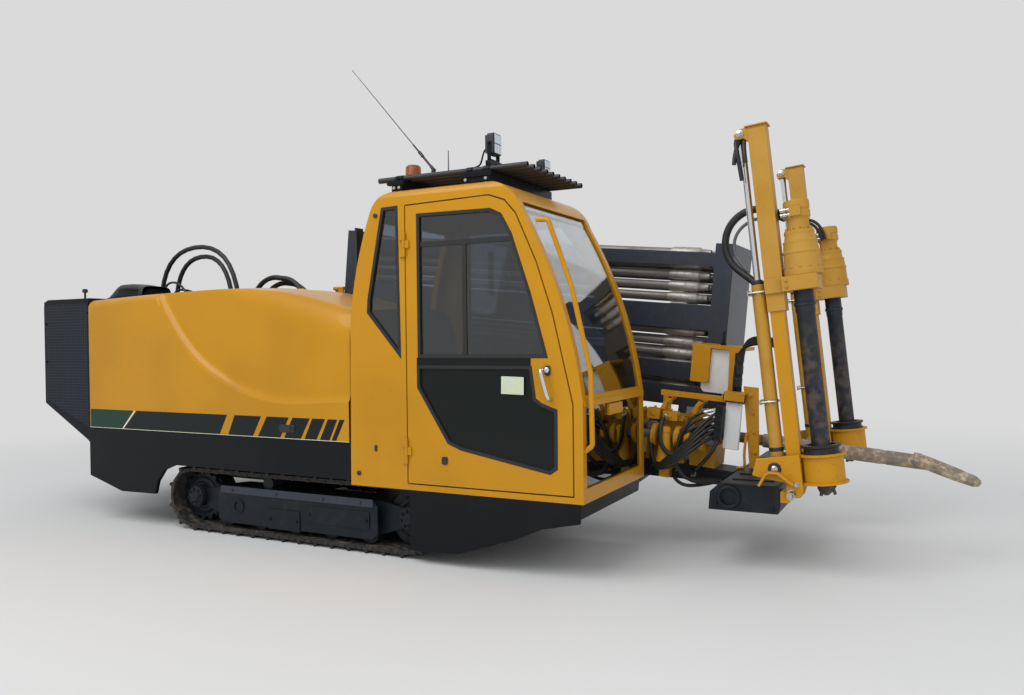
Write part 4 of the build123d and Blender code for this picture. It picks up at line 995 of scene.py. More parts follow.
def rounded(low, high, radius, steps=4):
    """A rectangle with round corners, as an outline."""
    corners = (((high[0] - radius, high[1] - radius), 0), ((low[0] + radius, high[1] - radius), 90),
               ((low[0] + radius, low[1] + radius), 180), ((high[0] - radius, low[1] + radius), 270))
    return [(x + radius * cos(radians(start + 90 * step / steps)),
             z + radius * sin(radians(start + 90 * step / steps)))
            for (x, z), start in corners for step in range(steps + 1)]


ROD_REAR, ROD_LENGTH = -2.1497, 3.050
ROD_TOP, ROD_PITCH = 1.519, 0.080
ROD_FIRST_Y, ROD_COLUMN_PITCH = 0.5837, 0.1375
ROD_PLACES = [(column, row) for column in range(4) for row in range(13) if row == 0 or column in (0, 3)]


class RIG_OT_rods(Operator):
    """Lay the stored drill rods, with their tool joints"""
    bl_idname = "rig.rods"
    bl_label = "Stored rods"

    def execute(self, context):
        rods, joints = Shape(RACK), Shape(RACK)
        for column, row in ROD_PLACES:
            y, w = ROD_FIRST_Y + column * ROD_COLUMN_PITCH, ROD_TOP - row * ROD_PITCH
            start = ROD_REAR + abs(0.004 * sin(7.1 * row + 3.3 * column))
            rods.turned((start, y, w), (1, 0, 0), (
                (0.17, 0.0335), (0.21, 0.0300), (ROD_LENGTH - 0.30, 0.0300), (ROD_LENGTH - 0.26, 0.0335)), 20)
            joints.turned((start, y, w), (1, 0, 0), ((0, 0.030), (0.004, 0.0385), (0.165, 0.0385),
                                                     (0.19, 0.0310)), 24)
            joints.turned((start + ROD_LENGTH - 0.29, y, w), (1, 0, 0), (
                (0, 0.0310), (0.03, 0.0385), (0.212, 0.0385), (0.216, 0.036), (0.222, 0.0290),
                (0.288, 0.0240)), 24)
        rods.piece("rod_pipes", "rack", "rod_steel", "rods", replaces=["drill_rods"], crease=50)
        joints.piece("rod_joints", "rack", "joint_steel", "rods", crease=50)
        return {"FINISHED"}


class RIG_OT_cab(Operator):
    """Fit the cab's seals, bars, handle, latch and label"""
    bl_idname = "rig.cab"
    bl_label = "Cab"

    # The panes' outlines, as points of x and z
    UPPER = [(0.300, 1.240), (0.300, 2.095), (0.800, 2.089), (0.870, 2.055), (0.935, 1.940), (1.050, 1.600),
             (1.150, 1.240)]
    LOWER = [(0.292, 1.190), (0.292, 1.060), (0.500, 0.735), (0.590, 0.700), (1.160, 0.595), (1.203, 0.625),
             (1.205, 0.950), (1.110, 0.985), (1.075, 1.010), (1.050, 1.190)]
    QUARTER = [(0.045, 2.150), (0.160, 2.154), (0.172, 1.240), (-0.072, 1.515), (-0.066, 1.600)]

    def seal(self, outline, name, body, outside, depth=0.034, width=0.016):
        """A rubber profile round a window's opening."""
        shape = Shape()
        ring = [Vector((x, 0, z)) for x, z in outline]
        middle = sum(ring, Vector()) / len(ring)
        count = len(ring)
        loops = []
        for spread, y in ((0.004, outside), (0.002, outside - 0.003), (-width, outside - 0.002),
                          (-width - 0.002, outside + 0.004), (-width - 0.002, outside + depth),
                          (0.004, outside + depth)):
            loop = []
            for index, point in enumerate(ring):
                before, after = ring[index - 1], ring[(index + 1) % count]
                first, second = (point - before).normalized(), (after - point).normalized()
                out = Vector((first.z, 0, -first.x)) + Vector((second.z, 0, -second.x))
                out.normalize()
                if out.dot(point - middle) < 0:
                    out = -out
                half = max(0.35, cos(first.angle(second) / 2))
                spot = point + out * spread / half
                loop.append((spot.x, y, spot.z))
            loops.append(loop)
        points = [place for loop in loops for place in loop]
        shape.add(points, walls(len(loops), count, closed=True))
        shape.piece(name, body, "seal_rubber", "rubber")

    def execute(self, context):
        self.seal(self.UPPER, "door_upper_seal", "door", NEAR)
        self.seal(self.LOWER, "door_lower_seal", "door", NEAR)
        self.seal(self.QUARTER, "quarter_seal", "chassis", NEAR)
        bars = Shape()
        bars.box((0.304, NEAR + 0.006, 1.897), (0.948, NEAR + 0.018, 1.929))
        bars.box((0.606, NEAR + 0.006, 1.246), (0.634, NEAR + 0.018, 1.898))
        bars.piece("sliding_window_bars", "door", "seal_rubber", "rubber", bevel=0.002)
        handle = Shape()
        handle.bent(((1.125, NEAR - 0.002, 1.178), (1.128, NEAR - 0.042, 1.166), (1.150, NEAR - 0.048, 1.092),
                     (1.170, NEAR - 0.042, 1.020), (1.172, NEAR - 0.002, 1.008)), 0.011)
        handle.piece("door_handle", "door", "chrome_rod", "chrome")
        catch = Shape()
        catch.plate(rounded((0.460, 0.609), (0.498, 0.654), 0.008), "Y", NEAR - 0.009, NEAR - 0.0004)
        catch.plate(rounded((1.136, 1.140), (1.170, 1.196), 0.014), "Y", NEAR - 0.010, NEAR - 0.0004)
        catch.piece("door_catches", "door", "black_plastic", "black", bevel=0.002)
        side = Shape()
        side.rod((0.000, NEAR - 0.012, 2.108), (0.000, NEAR - 0.0004, 2.108), 0.014, 20, 0.003)
        side.rod((-0.150, NEAR - 0.012, 0.520), (-0.150, NEAR - 0.0004, 0.520), 0.014, 20, 0.003)
        side.plate(rounded((-0.028, 0.660), (-0.010, 0.700), 0.007), "Y", NEAR - 0.006, NEAR - 0.0004)
        side.box((-0.232, -1.030, 1.700), (-0.2165, -0.960, 2.060))
        side.piece("cab_side_fittings", "chassis", "black_plastic", "black", bevel=0.0015)
        # The strip between the door's panes is in the same painted shade glass
        strip = Shape()
        strip.box((0.290, NEAR - 0.0022, 1.186), (1.048, NEAR - 0.0004, 1.238))
        strip.piece("door_glass_strip", "door", "painted_shade_glass", "black")
        lock = Shape()
        lock.turned((1.152, NEAR - 0.010, 1.172), (0, -1, 0),
                    ((0, 0.016), (0.010, 0.016), (0.014, 0.012), (0.016, 0.005)), 24)
        lock.piece("door_lock", "door", "chrome_rod", "chrome")
        label = Shape()
        label.plate(((0.859, 1.034), (1.002, 1.030), (1.004, 1.130), (0.861, 1.134)), "Y", NEAR - 0.0012,
                    NEAR - 0.0003)
        label.piece("door_sheet", "door", "paper_label", "grey")
        sill = Shape()
        sill.box((1.340, -1.100, 0.966), (1.364, -0.108, 1.004))
        sill.box((1.338, -0.715, 0.893), (1.362, -0.500, 0.960))
        sill.piece("front_upper_frame", "chassis", "body_yellow", "yellow", bevel=0.004)
        return {"FINISHED"}


class RIG_OT_roof(Operator):
    """Fit the roof rack's tubes, saddles, lamps, beacon and aerials"""
    bl_idname = "rig.roof"
    bl_label = "Roof"

    # Heights of the roof, the tubes' middle and their top
    SEAT, MIDDLE, TOP = 2.253, 2.345, 2.3623

    def execute(self, context):
        self.rack()
        self.lamps()
        self.beacon()
        self.aerials()
        return {"FINISHED"}

    def rack(self):
        """Ten tubes in their saddles on two cross boxes."""
        places = [-0.990 + step * 0.0889 for step in range(10)]
        tubes = Shape()
        for y in places:
            tubes.ring((-0.060, y, self.MIDDLE), (0.980, y, self.MIDDLE), 0.017, 0.0125, 16)
        tubes.piece("roof_tubes", "chassis", "black_plastic", "black", replaces=["roof_rack"], crease=50)
        saddles, feet = Shape(), Shape()
        half_round = list(circle(9, 1.0, whole=pi * 9 / 8))
        for low, high in ((0.060, 0.140), (0.570, 0.750)):
            saddles.box((low, NEAR + 0.090, self.SEAT + 0.0003), (high, -0.160, self.MIDDLE - 0.018))
            saddles.box((low - 0.016, NEAR + 0.078, self.MIDDLE - 0.048),
                        (high + 0.016, NEAR + 0.092, self.MIDDLE - 0.018))
            for x in (low + 0.012, high - 0.052):
                for y in places:
                    arch = [(y + 0.027 * c, self.MIDDLE - 0.004 + 0.024 * s) for c, s in half_round]
                    saddles.plate(arch, "X", x, x + 0.040)
                    saddles.bolt((x + 0.020, y + 0.036, self.MIDDLE - 0.018), (0, 0, 1), 0.012, 0.008)
            for x in (low + 0.022, high - 0.022):
                feet.rod((x, NEAR + 0.0895, self.SEAT + 0.030), (x, NEAR + 0.078, self.SEAT + 0.030),
                         0.011, 20, 0.003)
        saddles.piece("roof_saddles", "chassis", "panel_black", "black", bevel=0.0015)
        feet.piece("roof_feet", "chassis", "plated_fitting", "grey")

    def lamps(self):
        """Two work lamps with six lens cells each, on their bar."""
        housing, lenses, bar = Shape(), Shape(), Shape()
        bar.plate(rounded((-0.995, self.TOP), (-0.190, self.TOP + 0.035), 0.008), "X", 0.706, 0.739)
        for y, low, high in ((-0.935, 2.4303, 2.5573), (-0.240, 2.4203, 2.5273)):
            middle = (low + high) / 2
            housing.plate(rounded((y - 0.050, low), (y + 0.050, high), 0.014), "X", 0.712, 0.752)
            housing.plate(rounded((y - 0.046, low + 0.004), (y + 0.046, high - 0.004), 0.012),
                          "X", 0.752, 0.758)
            for step in range(7):
                fin = y - 0.039 + step * 0.013
                housing.box((0.694, fin - 0.002, low + 0.010), (0.713, fin + 0.002, high - 0.010))
            for row in range(2):
                for column in range(3):
                    y_low, z_low = y - 0.042 + column * 0.0285, low + 0.008 + row * (high - low - 0.012) / 2
                    lenses.plate(rounded((y_low, z_low), (y_low + 0.027, z_low + (high - low) / 2 - 0.010),
                                         0.006), "X", 0.7578, 0.7600)
            for hand in (-1, 1):
                bar.box((0.716, y + hand * 0.053 - 0.003, self.TOP + 0.034),
                        (0.740, y + hand * 0.053 + 0.003, middle + 0.012))
                bar.bolt((0.728, y + hand * 0.056, middle), (0, hand, 0), 0.012, 0.008)
            bar.box((0.716, y - 0.056, self.TOP + 0.034), (0.740, y + 0.056, self.TOP + 0.040))
        housing.piece("lamp_housings", "chassis", "black_plastic", "black", replaces=["lamps"], bevel=0.0015)
        lenses.piece("lamp_lenses", "chassis", "lamp_lens", "glass")
        bar.piece("lamp_bar", "chassis", "panel_black", "black", bevel=0.001)
        hose("lamp_cables", "chassis", (
            ((0.700, -0.935, 2.480), (0.672, -0.935, 2.482), (0.650, -0.930, 2.440), (0.640, -0.925, 2.395),
             (0.600, -0.905, 2.372), (0.420, -0.905, 2.370)),
            ((0.700, -0.240, 2.470), (0.668, -0.240, 2.468), (0.650, -0.300, 2.420), (0.655, -0.420, 2.400),
             (0.650, -0.700, 2.386), (0.620, -0.880, 2.372))), 0.0055)

    def beacon(self):
        """The amber beacon."""
        base, dome = Shape(), Shape()
        place = (0.105, -0.8567, self.TOP)
        base.turned(place, (0, 0, 1), ((0, 0.056), (0.004, 0.062), (0.018, 0.062), (0.021, 0.056)), 40)
        dome.turned((place[0], place[1], self.TOP + 0.0203), (0, 0, 1), (
            (0, 0.050), (0.050, 0.0485), (0.060, 0.045), (0.067, 0.036), (0.070, 0.020)), 40)
        base.piece("beacon_base", "chassis", "black_plastic", "black", bevel=0.001)
        dome.piece("beacon_dome", "chassis", "amber_lens", "amber", replaces=["beacon"], crease=60)

    def aerials(self):
        """A short upright aerial, and a long one that leans back."""
        rod, mounts = Shape(), Shape()
        foot = Vector((0.115, -0.6344, 2.4623))
        way = Vector((-0.657, 0.0, 0.754))
        mounts.turned((0.285, -0.7233, self.TOP), (0, 0, 1), ((0, 0.016), (0.012, 0.016), (0.020, 0.010),
                                                              (0.045, 0.010)), 20)
        rod.turned((0.285, -0.7233, self.TOP + 0.044), (0, 0, 1),
                   ((0, 0.0045), (0.140, 0.0030), (0.146, 0.002)), 12)
        mounts.turned((foot.x, foot.y, self.TOP), (0, 0, 1), (
            (0, 0.020), (0.010, 0.020), (0.016, 0.012), (0.060, 0.012), (0.062, 0.0155), (0.104, 0.0155)), 20)
        mounts.turned(foot, way, ((0, 0.011), (0.030, 0.011), (0.036, 0.008), (0.120, 0.008), (0.122, 0.0105),
                                  (0.170, 0.0105), (0.175, 0.006), (0.240, 0.0055)), 16)
        rod.turned(foot + way * 0.235, way, ((0, 0.0042), (0.40, 0.0034), (0.76, 0.0026)), 10)
        mounts.piece("aerial_mounts", "chassis", "black_plastic", "black", replaces=["aerials"])
        rod.piece("aerial_rods", "chassis", "machine_grey", "black")


class RIG_OT_tracks(Operator):
    """Bolt the shoes and fit the sprockets, idlers and covers"""
    bl_idname = "rig.tracks"
    bl_label = "Tracks"

    # Wheel centres in x, radius of the pitch line, height of the axles, middle and outer edge of a track
    REAR, FRONT, PITCH, WHEEL = -1.692, 0.150, 0.200, 0.236
    MIDDLE, OUTER = 0.865, 1.065
    SHOES = 36
    HUB_FACE = 0.1504

    def loop(self, travel, rise):
        """A point at a distance round the pitch line, and the way out of it."""
        straight = self.FRONT - self.REAR
        turn = pi * self.PITCH
        travel = travel % (2 * straight + 2 * turn)
        reach = self.PITCH + rise
        if travel < straight:
            return Vector((self.REAR + travel, 0, self.WHEEL - reach)), Vector((0, 0, -1))
        travel -= straight
        if travel < turn:
            angle = travel / self.PITCH - pi / 2
            out = Vector((cos(angle), 0, sin(angle)))
            return Vector((self.FRONT, 0, self.WHEEL)) + out * reach, out
        travel -= turn
        if travel < straight:
            return Vector((self.FRONT - travel, 0, self.WHEEL + reach)), Vector((0, 0, 1))
        angle = (travel - straight) / self.PITCH + pi / 2
        out = Vector((cos(angle), 0, sin(angle)))
        return Vector((self.REAR, 0, self.WHEEL)) + out * reach, out

    def execute(self, context):
        for side, hand in (("near", -1), ("far", 1)):
            middle = hand * self.MIDDLE
            bolts, steel, covers, caps, rail = (Shape() for _ in range(5))
            self.shoe_bolts(bolts, hand, middle)
            for x, teeth in ((self.REAR, 15), (self.FRONT, 0)):
                self.wheel(steel, caps, hand, middle, x, teeth)
            for step in range(5):
                x = self.REAR + (step + 1) * (self.FRONT - self.REAR) / 6
                caps.turned((x, middle + hand * self.HUB_FACE, 0.1203), (0, hand, 0), (
                    (0, 0.045), (0.008, 0.045), (0.013, 0.038), (0.013, 0.020), (0.020, 0.016)), 24)
            self.frame_covers(covers, hand, middle)
            self.side_plates(covers, rail, hand, middle)
            rail.piece(f"track_{side}_rail", "chassis", "frame_grey", "black", bevel=0.002)
            bolts.piece(f"track_{side}_bolts", "chassis", "track_steel", "black")
            steel.piece(f"track_{side}_wheels", "chassis", "frame_black", "black", bevel=0.003)
            caps.piece(f"track_{side}_hubs", "chassis", "frame_black", "black", bevel=0.001)
            covers.piece(f"track_{side}_covers", "chassis", "frame_black", "black", bevel=0.0025)
        return {"FINISHED"}

    def shoe_bolts(self, bolts, hand, middle):
        """Four bolts on each shoe, and the ends of the links' pins."""
        outer = hand * self.OUTER
        pitch = (2 * (self.FRONT - self.REAR) + 2 * pi * self.PITCH) / self.SHOES
        for shoe in range(self.SHOES):
            for share in (0.48, 0.74):
                spot, out = self.loop((shoe + share) * pitch, 0.014)
                for y in (middle - 0.060, middle + 0.060):
                    bolts.bolt((spot.x, y, spot.z), out, 0.020, 0.012)
            spot, out = self.loop((shoe + 0.56) * pitch, -0.0072)
            for y, way in ((outer, hand), (outer - hand * 0.400, -hand)):
                end = Vector((spot.x, y - way * 0.004, spot.z))
                bolts.rod(end, end + Vector((0, way * 0.009, 0)), 0.0105, 12, 0.002)

    def wheel(self, steel, caps, hand, middle, x, teeth):
        """A sprocket with its teeth, or a plain idler, and the hub over it."""
        face = middle + hand * 0.060
        rim = []
        count = teeth * 4 or 48
        for step in range(count):
            reach = 0.160 if teeth and step % 4 > 1 else 0.184
            angle = 2 * pi * step / count
            rim.append((x + reach * cos(angle), self.WHEEL + reach * sin(angle)))
        steel.plate(rim, "Y", *sorted((face + hand * 0.0004, face + hand * 0.026)))
        steel.turned((x, face + hand * 0.020, self.WHEEL), (0, hand, 0), (
            (0, 0.135), (0.012, 0.135), (0.020, 0.120), (0.020, 0.100), (0.012, 0.092)), 40)
        caps.turned((x, middle + hand * self.HUB_FACE, self.WHEEL), (0, hand, 0), (
            (0, 0.072), (0.010, 0.072), (0.016, 0.064), (0.016, 0.040), (0.026, 0.034), (0.028, 0.012)), 36)
        for a, b in circle(8, 0.053, 0.2):
            caps.bolt((x + a, middle + hand * 0.1663, self.WHEEL + b), (0, hand, 0), 0.015, 0.009)

    def frame_covers(self, covers, hand, middle):
        """The cover on the track frame, with its ledge, ribs and bolts."""
        low, high = sorted((middle + hand * 0.1152, middle + hand * 0.127))
        rim_low, rim_high = sorted((middle + hand * 0.115, middle + hand * 0.172))
        covers.plate(((-1.395, 0.165), (-0.150, 0.165), (-0.130, 0.185), (-0.130, 0.268), (-0.300, 0.292),
                      (-1.250, 0.292), (-1.395, 0.270)), "Y", low, high)
        covers.box((-1.350, rim_low, 0.306), (-0.180, rim_high, 0.318))
        for x in (-1.330, -0.800, -0.440, -0.210):
            covers.box((x, rim_low, 0.268), (x + 0.014, rim_high, 0.307))
        for x in (-1.33, -1.05, -0.74, -0.46, -0.22):
            for z in (0.185, 0.272):
                covers.bolt((x, middle + hand * 0.127, z), (0, hand, 0), 0.018, 0.010)
        for x in (-0.70, -0.66, -0.62, -0.58, -0.54):
            covers.box((x, rim_low, 0.190), (x + 0.012, high if hand > 0 else rim_high, 0.262))
        covers.rod((-0.42, middle + hand * 0.126, 0.228), (-0.42, middle + hand * 0.139, 0.228), 0.030, 24,
                   0.003)

    def side_plates(self, covers, rail, hand, middle):
        """The outer plate, the two covers and the rail bolted to it, and the ring round its hole."""
        skirt = ((-1.440, 0.112), (-1.405, 0.086), (-0.120, 0.086), (-0.070, 0.120), (-0.070, 0.300),
                 (-0.110, 0.336), (-1.405, 0.336), (-1.440, 0.304))
        covers.plate(skirt, "Y", *sorted((middle + hand * 0.176, middle + hand * 0.184)))
        low, high = sorted((middle + hand * 0.184, middle + hand * 0.191))
        face = high if hand > 0 else low
        for x_low, x_high, z_low, z_high in ((-0.980, -0.700, 0.080, 0.215), (-0.640, -0.130, 0.150, 0.262)):
            covers.plate(rounded((x_low, z_low), (x_high, z_high), 0.014), "Y", low, high)
            for x in (x_low + 0.024, x_high - 0.024):
                covers.bolt((x, face, (z_low + z_high) / 2), (0, hand, 0), 0.017, 0.008)
        covers.ring((-1.250, low, 0.205), (-1.250, high, 0.205), 0.050, 0.034, 28)
        rail.plate(rounded((-1.410, 0.292), (-0.100, 0.342), 0.006), "Y", low, high)
        for x in (-1.30, -0.90, -0.50, -0.20):
            rail.bolt((x, face, 0.317), (0, hand, 0), 0.016, 0.008)


class RIG_OT_rear(Operator):
    """Fit the screens, hoses and fittings behind the hood"""
    bl_idname = "rig.rear"
    bl_label = "Rear"

    SIDE, TOP = 1.100, 1.690

    def execute(self, context):
        self.screens()
        self.intake()
        self.arches()
        return {"FINISHED"}

    def screens(self):
        """The screen and its trim on each side of the cooler."""
        screen, frame_piece = Shape(), Shape()
        for hand in (-1, 1):
            face = hand * self.SIDE
            low, high = sorted((face - hand * 0.0005, face + hand * 0.0035))
            screen.plate(((-3.243, 0.905), (-2.738, 0.700), (-2.738, 1.655), (-3.215, 1.655),
                          (-3.243, 1.625)), "Y", low, high)
            low, high = sorted((face - hand * 0.0005, face + hand * 0.008))
            frame_piece.box((-3.250, low, 1.655), (-2.716, high, 1.672))
            frame_piece.box((-2.738, low, 0.640), (-2.718, high, 1.655))
            for x, z in ((-3.230, 1.20), (-3.230, 1.50), (-2.728, 0.80), (-2.728, 1.20), (-2.728, 1.58)):
                frame_piece.bolt((x, face + hand * 0.003, z), (0, hand, 0), 0.014, 0.008)
        screen.piece("cooler_screens", "chassis", "screen_black", "black")
        frame_piece.piece("cooler_trims", "chassis", "panel_black", "black", bevel=0.001)

    def intake(self):
        """The air cowl with its vents, and the knob beside it."""
        cowl = Shape()
        cowl.sheet(self.cowl, 24, 16)
        cowl.piece("air_cowl", "chassis", "black_plastic", "black", thickness=0.004)
        vents = Shape()
        for step in range(6):
            z = 1.722 + step * 0.014
            vents.box((-3.060 + step * 0.008, -0.606, z), (-2.800, -0.598, z + 0.005))
        vents.piece("air_cowl_vents", "chassis", "seal_rubber", "black")
        post = Shape()
        post.turned((-2.900, -1.000, self.TOP), (0, 0, 1), (
            (0, 0.016), (0.006, 0.016), (0.010, 0.008), (0.050, 0.008), (0.054, 0.020), (0.074, 0.020),
            (0.080, 0.014)), 20)
        post.piece("cooler_knob", "chassis", "black_plastic", "black")

    def arches(self):
        """The two hose arches, the small hoses before them, and what they end in."""
        hose("rear_arches", "chassis", (
            ((-3.160, -0.057, 1.692), (-3.135, -0.057, 2.170), (-2.235, -0.057, 2.170),
             (-2.210, -0.057, 1.562)),
            ((-3.020, -0.013, 1.692), (-2.995, -0.013, 2.090), (-2.350, -0.013, 2.090),
             (-2.325, -0.013, 1.562))),
            0.020, order=3, replaces=["rear_hoses"])
        block = Shape()
        block.box((-2.370, -0.0797, 1.500), (-2.170, 0.005, 1.560))
        for x, y in ((-2.210, -0.057), (-2.325, -0.013)):
            block.bolt((x - 0.05, y + 0.010, 1.560), (0, 0, 1), 0.016, 0.010)
        block.piece("hose_block", "chassis", "machine_grey", "black", bevel=0.003)
        fittings = Shape()
        for x, y, z in ((-3.160, -0.057, self.TOP), (-3.020, -0.013, self.TOP), (-2.210, -0.057, 1.560),
                        (-2.325, -0.013, 1.560)):
            fittings.turned((x, y, z), (0, 0, 1), ((0, 0.026), (0.022, 0.026)), 6)
            fittings.turned((x, y, z + 0.021), (0, 0, 1), ((0, 0.020), (0.006, 0.0235), (0.050, 0.0235),
                                                           (0.056, 0.021)), 20)
        for x in (-3.080, -2.940, -2.860, -2.800):
            fittings.turned((x, -0.100, self.TOP), (0, 0, 1), ((0, 0.016), (0.014, 0.016)), 6)
            fittings.turned((x, -0.100, 1.703), (0, 0, 1), ((0, 0.010), (0.045, 0.010), (0.048, 0.013),
                                                            (0.075, 0.013)), 16)
        fittings.turned((-2.640, -0.060, 1.730), (1, 0, 0.1),
                        ((0, 0.012), (0.020, 0.017), (0.050, 0.017), (0.070, 0.011)), 16)
        fittings.piece("rear_fittings", "chassis", "plated_fitting", "chrome")
        hose("rear_small_hoses", "chassis", (
            ((-3.080, -0.100, 1.775), (-3.060, -0.098, 1.860), (-2.960, -0.094, 1.885),
             (-2.860, -0.098, 1.850), (-2.800, -0.100, 1.770)),
            ((-2.940, -0.100, 1.775), (-2.920, -0.085, 1.830), (-2.780, -0.060, 1.800),
             (-2.640, -0.060, 1.730)),
            ((-2.570, -0.060, 1.737), (-2.450, -0.055, 1.790), (-2.330, -0.045, 1.740),
             (-2.260, -0.040, 1.566))), 0.010)

    def cowl(self, along, across):
        """A point of the cowl's hood, low at the rear and open at its front."""
        x = -3.190 + 0.440 * along
        turn = pi * across
        swell = smooth(along / 0.35) * (1 - 0.22 * smooth((along - 0.55) / 0.45))
        height = 0.040 + 0.106 * swell
        y = -0.450 - 0.150 * copysign(abs(cos(turn)) ** 0.45, cos(turn))
        z = self.TOP + (height * sin(turn) ** 0.45 if 0 < across < 1 else 0.0)
        return x, y, z


